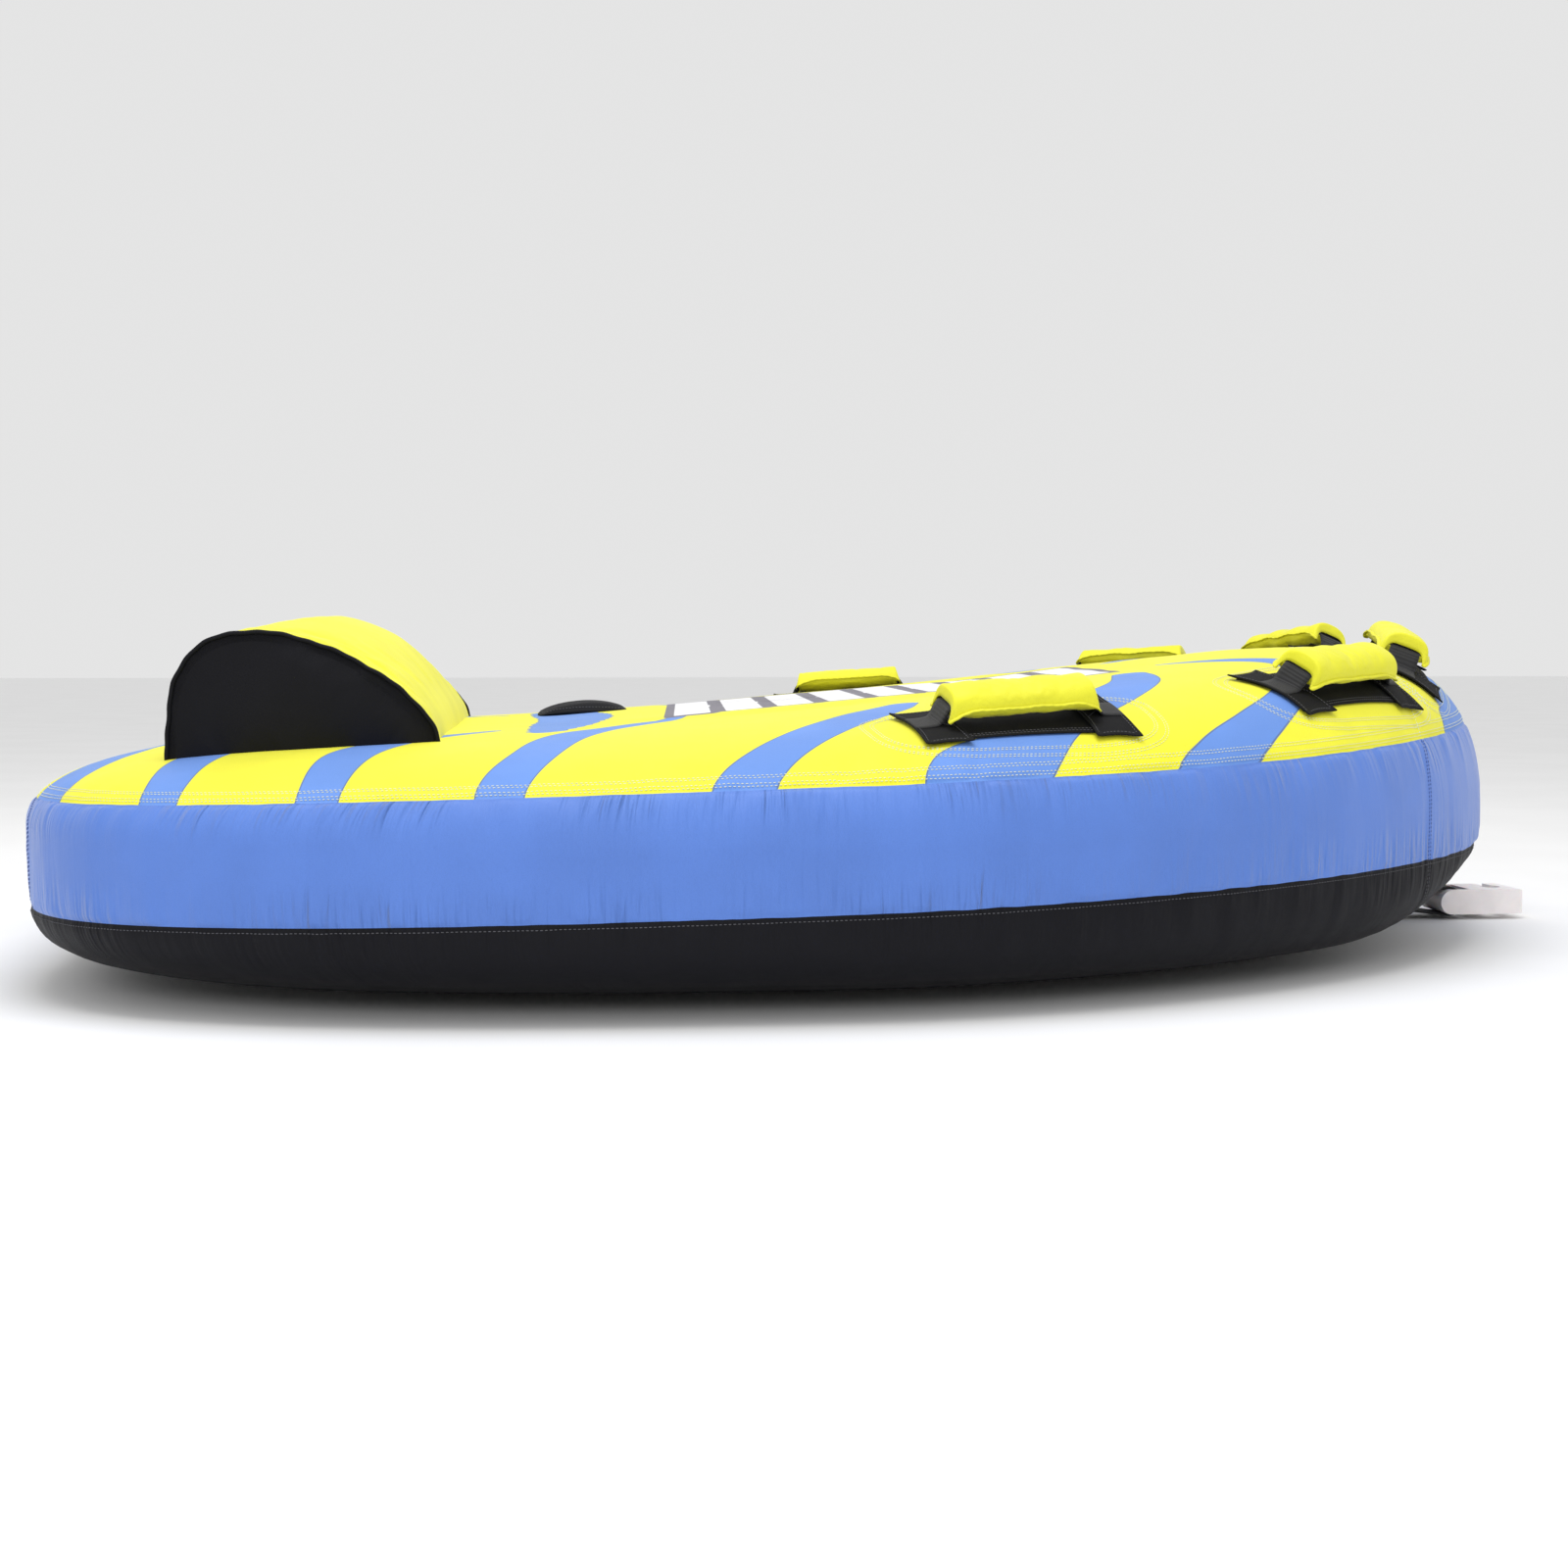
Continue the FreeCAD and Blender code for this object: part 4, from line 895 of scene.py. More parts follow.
def make_cover_stitching():
    deck_rows = slice(0, DECK_ROWS)
    lines = [row_at(distance, below_top, deck_rows) for distance in TOP_STITCH_ROWS]
    stitch_rows("top_seam_stitching", lines, THREAD_PALE, "root")
    top_row, bottom_row = DECK_ROWS - 1, DECK_ROWS + BAND_ROWS - 2
    belly_rows = slice(bottom_row, ROWS)
    stitch_rows("bottom_seam_stitching", [row_at(0.005, below_bottom, belly_rows)], THREAD_GREY, "root")
    band_lines, deck_lines, belly_lines = [], [], []
    for side in (-1, 1):
        for gap in SEAM_STITCH_GAPS:
            band_lines.append(section_line(BOW_SEAM + gap, side, top_row + 1, bottom_row - 1))
            band_lines.append(section_line(STERN_SEAM - gap, side, top_row + 1, bottom_row - 1))
            belly_lines.append(section_line(BOW_SEAM + gap, side, bottom_row + 1, bottom_row + 40))
        deck_lines.append(section_line(BOW_SEAM + SEAM_STITCH_GAPS[0], side, 30, top_row - 1))
    stitch_rows("band_seam_stitching", [line for line in band_lines if len(line) > 3], THREAD_BLUE, "root")
    stitch_rows("nose_seam_stitching", [line for line in deck_lines if len(line) > 3],
                THREAD_PALE, "root")
    stitch_rows("chin_seam_stitching", [line for line in belly_lines if len(line) > 3],
                THREAD_GREY, "root")


# ---------------------------------------------------------------- cloth simulation

SLACK = 0.0004


def inflate(piece, held, pressure, most, frames=20, spare=0.0):
    """Blows a mesh up as cloth, then writes the result back; held gives each point's pin weight."""
    mesh = bmesh.new()
    mesh.from_mesh(piece.data)
    bmesh.ops.recalc_face_normals(mesh, faces=mesh.faces[:])
    mesh.to_mesh(piece.data)
    mesh.free()
    rest = np.array([v.co for v in piece.data.vertices], float)
    outward = np.array([v.normal for v in piece.data.vertices], float)
    group = piece.vertex_groups.new(name="held")
    for index, weight in enumerate(held):
        if weight > 0:
            group.add([index], float(weight), "REPLACE")
    modifier = piece.modifiers.new("Cloth", "CLOTH")
    settings = modifier.settings
    settings.quality = 6
    settings.mass = 0.15
    settings.tension_stiffness = 20
    settings.compression_stiffness = 20
    settings.shear_stiffness = 8
    settings.bending_stiffness = 0.05
    settings.shrink_min = -spare
    settings.use_pressure = True
    settings.uniform_pressure_force = pressure
    settings.vertex_group_mass = "held"
    settings.effector_weights.gravity = 0
    modifier.collision_settings.use_collision = False
    modifier.point_cache.frame_start = 1
    modifier.point_cache.frame_end = frames
    scene = bpy.context.scene
    for number in range(1, frames + 1):
        scene.frame_set(number)
    swollen = piece.evaluated_get(bpy.context.evaluated_depsgraph_get()).data
    moved = np.array([v.co for v in swollen.vertices], float) - rest
    piece.modifiers.remove(modifier)
    piece.vertex_groups.clear()
    inward = np.minimum(0.0, (moved * outward).sum(axis=1, keepdims=True) + SLACK)
    moved -= inward * outward
    reach = np.linalg.norm(moved, axis=1, keepdims=True)
    rest += moved * np.minimum(1.0, most / np.maximum(reach, 1e-9))
    piece.data.vertices.foreach_set("co", rest.ravel())
    piece.data.update()
    scene.frame_set(1)
    return piece


# ---------------------------------------------------------------- handles

GUARD_LIFT = 0.025
GUARD_HALF_LONG, GUARD_HALF_WIDE = 0.0775, 0.030
GUARD_TOP, GUARD_UNDER = 0.0184, 0.0125
GUARD_FOAM_END, GUARD_END_DEPTH, GUARD_END_RINGS = 0.0758, 0.0045, 4
PAD_HALF_LONG, PAD_HALF_WIDE = 0.118, 0.050
PATCH_HALF_LONG, PATCH_HALF_WIDE = 0.027, 0.060
STRAP_HALF_WIDE = 0.019


def hull_normal(x, y):
    """The smooth hull's normal over a plan point, from points 20 mm to each side."""
    def over(px, py):
        return landing((px, py, deck_line(px)), (0, 0, -1))[0]
    step = 0.02
    along = over(x + step, y) - over(x - step, y)
    across = over(x, y + step) - over(x, y - step)
    return along.cross(across).normalized()


class HandleFrame:
    """A handle's own axes: its length, its side and the deck's normal under it."""

    def __init__(self, name):
        joint = joints["grip_roll_" + name]
        self.name = name
        self.hinge = Vector(joint["pos_m"])
        axis = Vector(joint["axis"]).normalized()
        normal = hull_normal(self.hinge.x, self.hinge.y)
        normal = (normal - axis * normal.dot(axis)).normalized()
        self.along, self.up = axis, normal
        self.side = normal.cross(axis).normalized()
        self.foot = self.hinge - normal * GUARD_LIFT
        self.outward = 1.0 if self.side.y * self.hinge.y > 0 else -1.0

    def point(self, u, v, w):
        return self.foot + self.along * u + self.side * v + self.up * w

    def on_deck(self, u, v, lift):
        hit, normal = landing(self.point(u, v, 0), -self.up)
        return hit + self.up * lift, normal


def pulled_outline(s, t, half_long, half_wide, pull):
    """A rectangle whose sides curve inwards between its corners, as stretched cloth does."""
    u = s * half_long - s * pull * (1 - t * t)
    v = t * half_wide - t * pull * (1 - s * s)
    return u, v


def deck_sheet(name, handle, centre, half_long, half_wide, lift, curl, material, thickness=0.0016):
    """A cloth patch sewn to the deck; its corners curl up a little."""
    across, along = 33, 33
    points, uvs = [], []
    for i in range(across):
        for j in range(along):
            s, t = 2 * i / (across - 1) - 1, 2 * j / (along - 1) - 1
            u, v = pulled_outline(s, t, half_long, half_wide, 0.0035)
            raised = curl * max(0.0, abs(s) * abs(t) - 0.55) ** 2 * 5
            hem = 0.0007 * (max(abs(s), abs(t)) > 0.9)
            spot, _ = handle.on_deck(centre + u, v, lift + raised + hem)
            points.append(spot)
            uvs.append((u, v))
    piece = new_piece(name, points, grid_faces(across, along), material, uvs)
    thicken(piece, thickness, 1.0)
    return soften(piece)


def outline_points(handle, centre, half_long, half_wide, lift, inset, steps=14):
    """A closed rectangle of points on the deck, inset from a patch's edge."""
    corners = [(-1, -1), (1, -1), (1, 1), (-1, 1), (-1, -1)]
    line = []
    for (s0, t0), (s1, t1) in zip(corners, corners[1:]):
        for k in range(steps):
            s, t = s0 + (s1 - s0) * k / steps, t0 + (t1 - t0) * k / steps
            u, v = pulled_outline(s, t, half_long - inset, half_wide - inset, 0.003)
            line.append(handle.on_deck(centre + u, v, lift)[0])
    line.append(line[0])
    return line


def cross_lines(handle, centre, half_long, half_wide, lift, steps=14):
    lines = []
    for sign in (-1, 1):
        line = []
        for k in range(steps + 1):
            s = 2 * k / steps - 1
            line.append(handle.on_deck(centre + s * half_long, sign * s * half_wide, lift)[0])
        lines.append(line)
    return lines


def rounded_loop(handle, half_long, half_wide, lift, steps=96, power=3.2):
    """The stitched outline of the reinforcement under the deck cloth."""
    line = []
    for k in range(steps + 1):
        angle = 2 * math.pi * k / steps
        u = half_long * float(signed_power(math.cos(angle), 2 / power))
        v = half_wide * float(signed_power(math.sin(angle), 2 / power))
        line.append(handle.on_deck(u, v, lift)[0])
    return line


def guard_section(turn):
    """The pillow's section: a high top, a flatter underside, pointed at its two seams."""
    cosine, sine = math.cos(turn), math.sin(turn)
    v = GUARD_HALF_WIDE * math.copysign(abs(cosine) ** (0.8 if sine > 0 else 0.42), cosine)
    height = GUARD_TOP if sine > 0 else GUARD_UNDER
    return v, height * math.copysign(abs(sine) ** 0.9, sine)


def make_guard(handle, seed):
    """The padded sleeve of a handle: two cloths sewn along both sides, open at its ends."""
    across, around = 61, 56
    full = 1 - 2 * GUARD_END_RINGS / (across - 1)
    random = np.random.default_rng(seed)
    points, uvs, held = [], [], []
    wobble = random.uniform(-1, 1, (4, 2))
    for i in range(across):
        s = 2 * i / (across - 1) - 1
        for j in range(around):
            turn = 2 * math.pi * j / around
            v, w = guard_section(turn)
            edge = abs(math.cos(turn)) ** 6
            near_end = max(0.0, (abs(s) - 0.55) / 0.45)
            corner = edge * near_end ** 2
            closing = max(0.0, 1 - min(i, across - 1 - i) / GUARD_END_RINGS)
            u = min(1.0, abs(s) / full) * GUARD_FOAM_END + GUARD_END_DEPTH * math.sin(closing * 1.57)
            u = math.copysign(u + 0.005 * corner, s)
            w = w * (1 - 0.97 * closing ** 2) ** 0.5 - 0.012 * corner
            v = v * (1 - 0.16 * closing ** 2)
            w += 0.0006 * sum(a * math.sin((k + 3) * 2.2 * s + b * 3 + turn)
                              for k, (a, b) in enumerate(wobble))
            points.append((u, v, w))
            uvs.append((u, turn * 0.025))
            held.append(0.55 if edge > 0.8 else 0.9 if near_end > 0.97 else 0.0)
    faces = []
    for i in range(across - 1):
        for j in range(around):
            a, b = i * around + j, i * around + (j + 1) % around
            faces.append((a, a + around, b + around, b))
    piece = new_piece("guard_" + handle.name, points, faces, GUARD_CLOTH, uvs)
    inflate(piece, held, 3.0, 0.004, spare=0.02)
    turn = Matrix((handle.along, handle.side, handle.up)).transposed().to_4x4()
    piece.data.transform(Matrix.Translation(handle.hinge) @ turn)
    return thicken(soften(piece), 0.0012)


def make_seam_fins(handle, guard):
    """The narrow sewn lips along both sides of a guard, where its two cloths meet."""
    across, around = 61, 56
    points, faces = [], []
    lips = 0.004
    for j in (0, around // 2):
        start = len(points)
        out = handle.side if j == 0 else -handle.side
        for i in range(across):
            root = guard.data.vertices[i * around + j].co
            ruffle = 0.0008 * math.sin(i * 1.9 + j)
            points.append(tuple(root - out * 0.001))
            points.append(tuple(root + out * lips + handle.up * (ruffle - 0.0012)))
        for i in range(across - 1):
            a = start + 2 * i
            faces.append((a, a + 1, a + 3, a + 2))
    uvs = [(p[0], p[2]) for p in points]
    piece = new_piece("guard_lips_" + handle.name, points, faces, GUARD_CLOTH, uvs)
    return thicken(soften(piece), 0.0014, 0.0)


def make_strap(handle, end):
    """Half of the grip webbing: sewn on an end patch, then up into the guard to its middle."""
    stations = [(0.117, 0.0055), (0.100, 0.0056), (0.091, 0.0080), (0.0845, 0.0180),
                (0.0785, 0.0243), (0.060, 0.0250), (0.0, 0.0250)]
    curve = smooth_stroke([(u, w, 0.0) for u, w in stations], 5)
    across = 7
    points, uvs = [], []
    for u, w, _ in curve:
        for k in range(across):
            v = STRAP_HALF_WIDE * (2 * k / (across - 1) - 1)
            ground = handle.on_deck(end * u, v, 0)[0]
            rise = (ground - handle.foot).dot(handle.up)
            follow = max(0.0, min(1.0, (0.012 - w) / 0.005))
            points.append(handle.point(end * u, v, w + rise * follow))
            uvs.append((u, v))
    piece = new_piece(f"grip_strap_{handle.name}_{'fore' if end > 0 else 'rear'}", points,
                      grid_faces(len(curve), across), WEBBING, uvs)
    thicken(piece, 0.0022, 0.0)
    handle.point(end * 0.095, 0, 0.007)
    handle.point(end * 0.080, 0, 0.022)
    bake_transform(piece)
    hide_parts("grip_webbing_" + handle.name)
    return piece


def make_handle(name, seed):
    handle = HandleFrame(name)
    base = deck_sheet("handle_base_cloth_" + name, handle, 0, PAD_HALF_LONG, PAD_HALF_WIDE,
                      0.0008, 0.0, BASE_CLOTH)
    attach(base, "root")
    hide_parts("handle_base_" + name)
    reach = PAD_HALF_LONG - PATCH_HALF_LONG
    rows, pale_rows = [], []
    for number, centre in enumerate((-reach, reach), start=1):
        patch = deck_sheet(f"handle_patch_{name}_{number}", handle, centre * 1.04, PATCH_HALF_LONG,
                           PATCH_HALF_WIDE, 0.0030, 0.0022, BASE_CLOTH, 0.0022)
        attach(patch, "root")
        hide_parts("handle_end_patches_" + name)
        rows.append(outline_points(handle, centre * 1.04, PATCH_HALF_LONG, PATCH_HALF_WIDE,
                                   0.0056, 0.005))
        rows += cross_lines(handle, centre * 1.04, 0.018, 0.018, 0.0056)
    for inset in (0.0045, 0.0085):
        rows.append(outline_points(handle, 0, PAD_HALF_LONG, PAD_HALF_WIDE, 0.0030, inset))
    for grow in (0.009, 0.012, 0.020, 0.023):
        pale_rows.append(rounded_loop(handle, PAD_HALF_LONG + 0.025 + grow, PAD_HALF_WIDE + 0.008 + grow,
                                      0.0004))
    stitch_rows("handle_stitching_" + name, rows, THREAD_GREY, "root", 0.0042)
    stitch_rows("deck_stitching_" + name, pale_rows, THREAD_PALE, "root")
    guard = make_guard(handle, seed)
    lips = make_seam_fins(handle, guard)
    body = "grip_" + name
    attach(guard, body)
    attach(lips, body)
    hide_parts("knuckle_guard_" + name)
    for end in (-1, 1):
        make_strap(handle, end)


# ---------------------------------------------------------------- backrest

REST_HALF_WIDE = 0.443
REST_REAR, REST_FRONT, REST_FOOT = -0.790, -0.494, 0.150
REST_CROWN = 0.018
REST_SEAT = 0.245
REST_PROFILE = [
    (0.003, 0.250), (0.005, 0.300), (0.013, 0.340), (0.034, 0.372), (0.072, 0.389), (0.118, 0.389),
    (0.170, 0.375), (0.222, 0.349), (0.262, 0.318), (0.287, 0.283),
]
REST_STEPS = 96
REST_COLUMNS = 111
CAP_RINGS = 16


def rest_profile():
    """The backrest's side outline from its rear foot over the crest to its front foot."""
    stations = [(REST_REAR, REST_FOOT, 0)]
    stations += [(REST_REAR + x, z, 0) for x, z in REST_PROFILE]
    stations += [(REST_FRONT, 0.225, 0), (REST_FRONT, REST_FOOT, 0)]
    curve = smooth_stroke(stations, 12)[:, :2]
    run = np.concatenate([[0.0], np.cumsum(np.hypot(*np.diff(curve, axis=0).T))])
    marks = np.linspace(0, run[-1], REST_STEPS)
    return np.stack([np.interp(marks, run, curve[:, 0]), np.interp(marks, run, curve[:, 1])], axis=1)


def seated(x, y, z):
    """A backrest point, kept just under the deck where it would go deeper."""
    deck, _ = landing((x, y, deck_line(x)), (0, 0, -1))
    low = deck.z - 0.004
    return (x, y, z) if z > low else (x, y, low)


def make_backrest():
    profile = rest_profile()
    points, held, uvs = [], [], []
    for column in range(REST_COLUMNS):
        share = 2 * column / (REST_COLUMNS - 1) - 1
        share = math.copysign(1 - (1 - abs(share)) ** 1.15, share)
        for row, (x, z) in enumerate(profile):
            crown = REST_CROWN * (1 - share * share) * max(0.0, z - 0.25) / 0.14
            place = seated(x + crown, share * (REST_HALF_WIDE - 0.0015), z + crown)
            points.append(place)
            uvs.append((share * REST_HALF_WIDE, row * 0.0075))
            at_edge = abs(share) > 0.995
            held.append(1.0 if place[2] != z + crown else 0.93 if at_edge else 0.0)
    faces = grid_faces(REST_COLUMNS, REST_STEPS)
    wrap_points = len(points)
    middle = Vector(((REST_REAR + REST_FRONT) / 2, 0, 0.225))
    for side, column in ((-1, 0), (1, REST_COLUMNS - 1)):
        ring = [column * REST_STEPS + row for row in range(REST_STEPS)]
        previous = ring
        for number in range(1, CAP_RINGS + 1):
            share = 1 - number / CAP_RINGS
            bulge = 0.010 * (1 - share * share)
            current = []
            for index in ring:
                x, y, z = points[index]
                place = (middle.x + (x - middle.x) * share, y + side * bulge,
                         middle.z + (z - middle.z) * share)
                current.append(len(points))
                points.append(place)
                uvs.append((place[0], place[2]))
                held.append(1.0 if place[2] < REST_SEAT else 0.0)
                if number == CAP_RINGS:
                    break
            for row in range(REST_STEPS - 1):
                a, b = previous[row], previous[row + 1]
                if number == CAP_RINGS:
                    face = (a, b, current[0])
                else:
                    face = (a, b, current[row + 1], current[row])
                faces.append(face if side < 0 else face[::-1])
            previous = current
    whole = new_piece("backrest_whole", points, faces, WRAP_CLOTH, uvs)
    inflate(whole, held, 1.2, 0.013, spare=0.012)
    split_backrest(whole, wrap_points)
    return whole


def split_backrest(whole, wrap_points):
    """Parts the simulated backrest into its yellow wrap and its two black end panels."""
    edges = [[whole.data.vertices[column * REST_STEPS + row].co.copy() for row in range(REST_STEPS)]
             for column in (0, REST_COLUMNS - 1)]
    names = {"backrest_wrap": (lambda y: True, WRAP_CLOTH, "deck_nylon"),
             "backrest_end_panel_right": (lambda y: y < 0, BLACK_CLOTH, "black_nylon"),
             "backrest_end_panel_left": (lambda y: y > 0, BLACK_CLOTH, "black_nylon")}
    wrap_faces = (REST_COLUMNS - 1) * (REST_STEPS - 1)
    for node, (belongs, cloth, slot_name) in names.items():
        piece = copy_of(whole, node + "_cloth")
        piece.data.materials[0] = cloth
        mesh = bmesh.new()
        mesh.from_mesh(piece.data)
        mesh.faces.ensure_lookup_table()
        drop = []
        for number, face in enumerate(mesh.faces):
            in_wrap = number < wrap_faces
            wanted = in_wrap if node == "backrest_wrap" else not in_wrap
            if not (wanted and belongs(face.calc_center_median().y)):
                drop.append(face)
        bmesh.ops.delete(mesh, geom=drop, context="FACES")
        mesh.to_mesh(piece.data)
        mesh.free()
        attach(piece, "root")
        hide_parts(node)
        soften(piece)
    bpy.data.objects.remove(whole)
    for hand, edge in (("right", edges[0]), ("left", edges[1])):
        make_piping(hand, edge)


PIPING_RADIUS = 0.0026


def make_piping(hand, edge):
    """The corded black edge between the wrap and an end panel."""
    low = min(point.z for point in edge)
    line = np.array([tuple(point) for point in edge if point.z > low - 1])
    points, ways = resampled(line, 0.004)
    side = -1 if hand == "right" else 1
    sides = 8
    ring_points, faces = [], []
    for number, (place, way) in enumerate(zip(points, ways)):
        out = np.cross(way, (0, 1, 0))
        out /= max(np.linalg.norm(out), 1e-9)
        waver = 0.0006 * math.sin(number * 0.37) + 0.0004 * math.sin(number * 0.91)
        centre = place + np.array((0, side * 0.0005, 0)) + out * waver
        for k in range(sides):
            angle = 2 * math.pi * k / sides
            ring_points.append(centre + PIPING_RADIUS * (out * math.cos(angle)
                                                         + np.array((0, 1, 0)) * math.sin(angle)))
    for number in range(len(points) - 1):
        for k in range(sides):
            a, b = number * sides + k, number * sides + (k + 1) % sides
            faces.append((a, b, b + sides, a + sides))
    faces.append(tuple(range(sides))[::-1])
    faces.append(tuple((len(points) - 1) * sides + k for k in range(sides)))
    uvs = [(p[0], p[2]) for p in ring_points]
    piece = new_piece("backrest_piping_cord_" + hand, ring_points, faces, BLACK_CLOTH, uvs)
    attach(piece, "root")
    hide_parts("backrest_piping_" + hand)


# ---------------------------------------------------------------- tow loop, harness, flap, zip

LOOP_HALF_WIDE = 0.025
LOOP_RADIUS = 0.0191


def ribbon(name, path, half_wide, thickness, material, body, side=(0, 1, 0)):
    """A flat strap along a path, with its width along one axis."""
    across = 9
    side = np.array(side, float)
    points, uvs = [], []
    run = 0.0
    for number, place in enumerate(path):
        if number:
            run += float(np.linalg.norm(np.array(place) - np.array(path[number - 1])))
        for k in range(across):
            v = half_wide * (2 * k / (across - 1) - 1)
            points.append(np.array(place) + side * v)
            uvs.append((run, v))
    piece = new_piece(name, points, grid_faces(len(path), across), material, uvs)
    thicken(piece, thickness, 0.0)
    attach(piece, body)
    return piece


def make_tow_loop():
    pivot = np.array(joints["connector_pivot"]["pos_m"])
    root = np.array((0.660, 0, 0.0315))
    away = root - pivot
    distance = float(np.linalg.norm(away))
    bearing = math.atan2(away[2], away[0])
    spread = math.acos(LOOP_RADIUS / distance)
    path = [root + (0, 0, 0.001)]
    steps = 24
    first, last = bearing - spread, bearing + spread - 2 * math.pi
    for k in range(7):
        touch = pivot + LOOP_RADIUS * np.array((math.cos(first), 0, math.sin(first)))
        share = (k + 1) / 8
        path.append(path[0] + (touch - path[0]) * share)
    for k in range(steps + 1):
        angle = first + (last - first) * k / steps
        path.append(pivot + LOOP_RADIUS * np.array((math.cos(angle), 0, math.sin(angle))))
    end = root - (0, 0, 0.001)
    touch = path[-1]
    path += [touch + (end - touch) * (k + 1) / 8 for k in range(8)]
    loop = ribbon("tow_loop_webbing", path, LOOP_HALF_WIDE, 0.003, WEBBING, "root")
    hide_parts("tow_webbing_loop")


def belly_patch(name, low_x, high_x, half_wide, lift, thickness, material, node):
    """A strap or tape sewn under the hull, following its underside."""
    across, along = 25, 61
    points, uvs = [], []
    for i in range(across):
        x = low_x + (high_x - low_x) * i / (across - 1)
        for j in range(along):
            y = half_wide * (2 * j / (along - 1) - 1)
            hit, normal = landing((x, y, -0.02), (0, 0, 1), 0.05)
            points.append(hit + normal * lift)
            uvs.append((x, y))
    faces = [(a, d, c, b) for a, b, c, d in grid_faces(across, along)]
    piece = new_piece(name, points, faces, material, uvs)
    thicken(piece, thickness, 1.0)
    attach(piece, "root")
    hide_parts(node)
    return piece


def make_harness():
    low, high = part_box("tow_harness_strap")
    belly_patch("tow_harness_webbing", low.x, high.x, LOOP_HALF_WIDE, 0.0005, 0.0022, WEBBING,
                "tow_harness_strap")
    lines = []
    for inset in (0.004, 0.008):
        corners = [(low.x + inset, -1), (high.x - inset, -1), (high.x - inset, 1), (low.x + inset, 1),
                   (low.x + inset, -1)]
        line = []
        for (x0, t0), (x1, t1) in zip(corners, corners[1:]):
            for k in range(12):
                x = x0 + (x1 - x0) * k / 12
                y = (t0 + (t1 - t0) * k / 12) * (LOOP_HALF_WIDE - inset)
                hit, normal = landing((x, y, -0.02), (0, 0, 1), 0.05)
                line.append(hit + normal * 0.0031)
        line.append(line[0])
        lines.append(line)
    stitch_rows("harness_stitching", lines, THREAD_GREY, "root", 0.0042)


def make_zip():
    """Woven tape and interlocking coil teeth across the stern's underside."""
    low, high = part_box("zip_tape")
    half = (high.y - low.y) / 2
    tape = belly_patch("zip_tape_cloth", low.x, high.x, half, 0.0006, 0.0012, WEBBING, "zip_tape")
    middle = (low.x + high.x) / 2
    pitch, tooth_long, tooth_wide, tooth_tall = 0.0024, 0.0042, 0.0009, 0.0022
    points, faces = [], []
    count = int((2 * half - 0.03) / pitch)
    for number in range(count):
        y = -half + 0.015 + number * pitch
        hit, normal = landing((middle, y, -0.02), (0, 0, 1), 0.05)
        lean = 1 if number % 2 else -1
        forward = Vector((0, 1, 0)).cross(normal).normalized()
        start = len(points)
        for p, q, r in ((-1, -1, 0), (1, -1, 0), (1, 1, 0), (-1, 1, 0),
                        (-0.6, -0.7, 1), (0.6, -0.7, 1), (0.6, 0.7, 1), (-0.6, 0.7, 1)):
            place = hit + normal * (0.0016 + r * tooth_tall)
            place += forward * (lean * 0.0009 + p * tooth_long / 2) + Vector((0, q * tooth_wide, 0))
            points.append(place)
        for face in ((0, 1, 2, 3), (7, 6, 5, 4), (0, 4, 5, 1), (1, 5, 6, 2), (2, 6, 7, 3), (3, 7, 4, 0)):
            faces.append([start + k for k in face])
    teeth = new_piece("zip_coil_teeth", points, faces, VALVE_PLASTIC, smooth=False)
    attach(teeth, "root")
    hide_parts("zip_teeth")


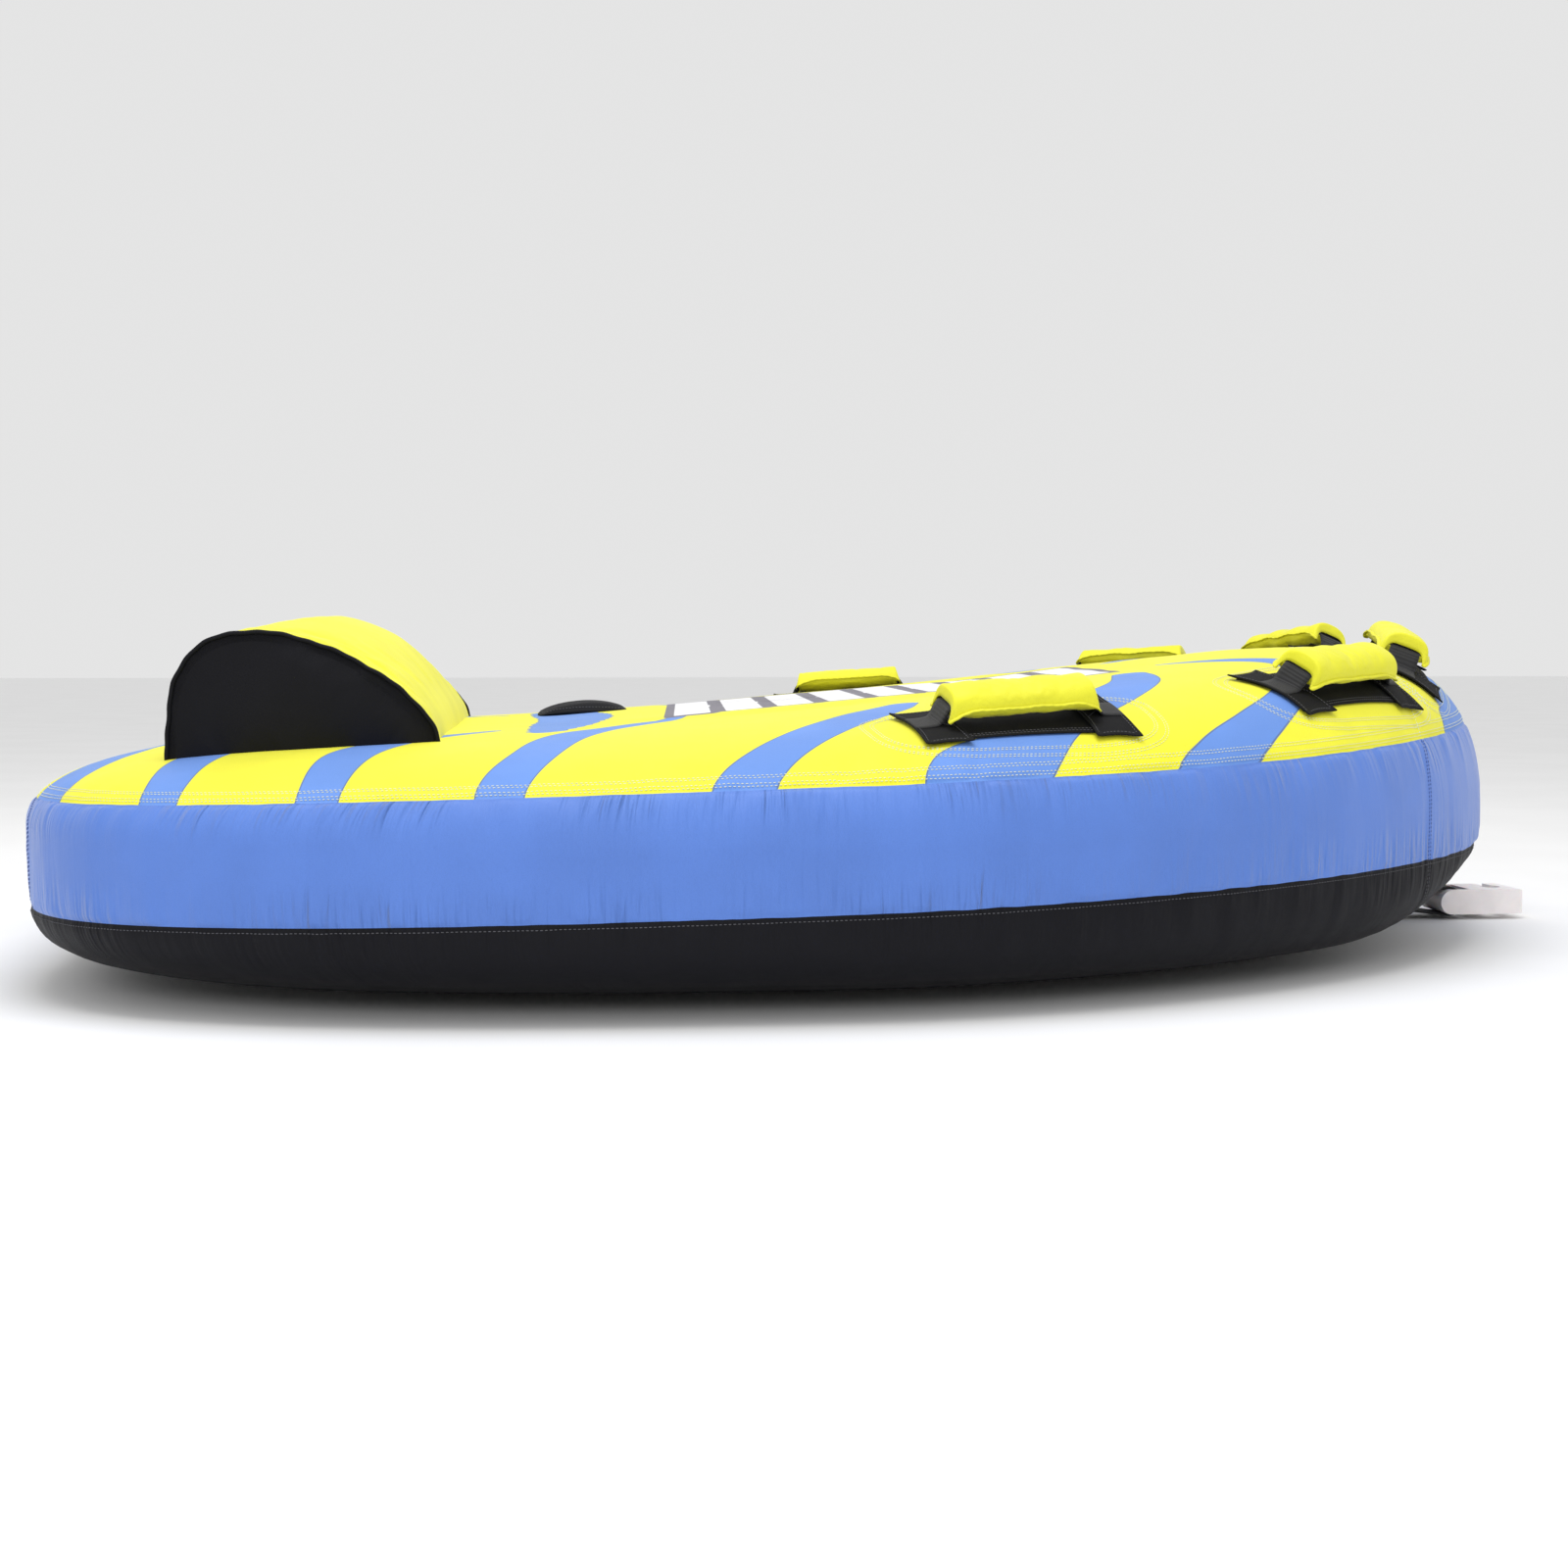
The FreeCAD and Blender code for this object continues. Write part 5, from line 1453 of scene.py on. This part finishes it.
def make_flap():
    """The arched cloth flap over the main valve, with stitched edges."""
    low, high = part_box("valve_flap")
    joint = joints["flap_swing"]
    body_axis = Vector(joint["axis"]).normalized()
    hinge = Vector(joint["pos_m"])
    normal = hull_normal((low.x + high.x) / 2, (low.y + high.y) / 2)
    normal = (normal - body_axis * normal.dot(body_axis)).normalized()
    along = normal.cross(body_axis).normalized()
    if along.x > 0:
        along = -along
    length, half_wide, rise = 0.125, 0.055, 0.0155
    across, rows = 31, 27
    points, uvs = [], []
    for i in range(across):
        s = i / (across - 1)
        for j in range(rows):
            t = 2 * j / (rows - 1) - 1
            rounding = 0.010 * max(0.0, s - 0.8) / 0.2 * t ** 4
            bow = 1 - (2 * s - 1) ** 2
            arch = rise * (0.55 * bow ** 0.5 + 0.45 * bow) * (1 - abs(t) ** 3.5) ** 0.6
            ruffle = 0.0006 * math.sin(9 * t + 5 * s)
            place = hinge + along * (s * length - rounding) + body_axis * (t * half_wide)
            points.append(place + normal * (arch + ruffle - 0.0024))
            uvs.append((s * length, t * half_wide))
    piece = new_piece("valve_flap_cloth", points, grid_faces(across, rows), BLACK_CLOTH, uvs)
    thicken(soften(piece), 0.0018, 0.0)
    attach(piece, "flap")
    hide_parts("valve_flap")
    lines = []
    for j in (1, rows - 2):
        lines.append([Vector(points[i * rows + j]) + normal * 0.0012 for i in range(1, across - 1)])
    lines.append([Vector(points[(across - 2) * rows + j]) + normal * 0.0012 for j in range(1, rows - 1)])
    stitch_rows("flap_stitching", lines, THREAD_GREY, "flap")


# ---------------------------------------------------------------- carried CAD nodes

def paint(node, material):
    mesh = frame["nodes"][node].data
    mesh.materials.clear()
    mesh.materials.append(material)


def paint_cad_nodes():
    for node in ("main_bladder", "backrest_bladder"):
        paint(node, FILM)
    for name in HANDLES:
        paint("guard_foam_" + name, FOAM)
    for node in ("main_valve_base", "main_valve_core", "main_valve_cap", "backrest_valve",
                 "backrest_valve_plug"):
        paint(node, VALVE_PLASTIC)
    for node in ("zip_slider", "zip_pull_tab"):
        paint(node, ZIP_METAL)
    paint("tow_quick_connector", WHITE_PLASTIC)


# ---------------------------------------------------------------- build

add_camera()
add_stage()
make_cover()
make_cover_stitching()
for seed, name in enumerate(HANDLES, start=21):
    make_handle(name, seed)
make_backrest()
make_tow_loop()
make_harness()
make_zip()
make_flap()
paint_cad_nodes()
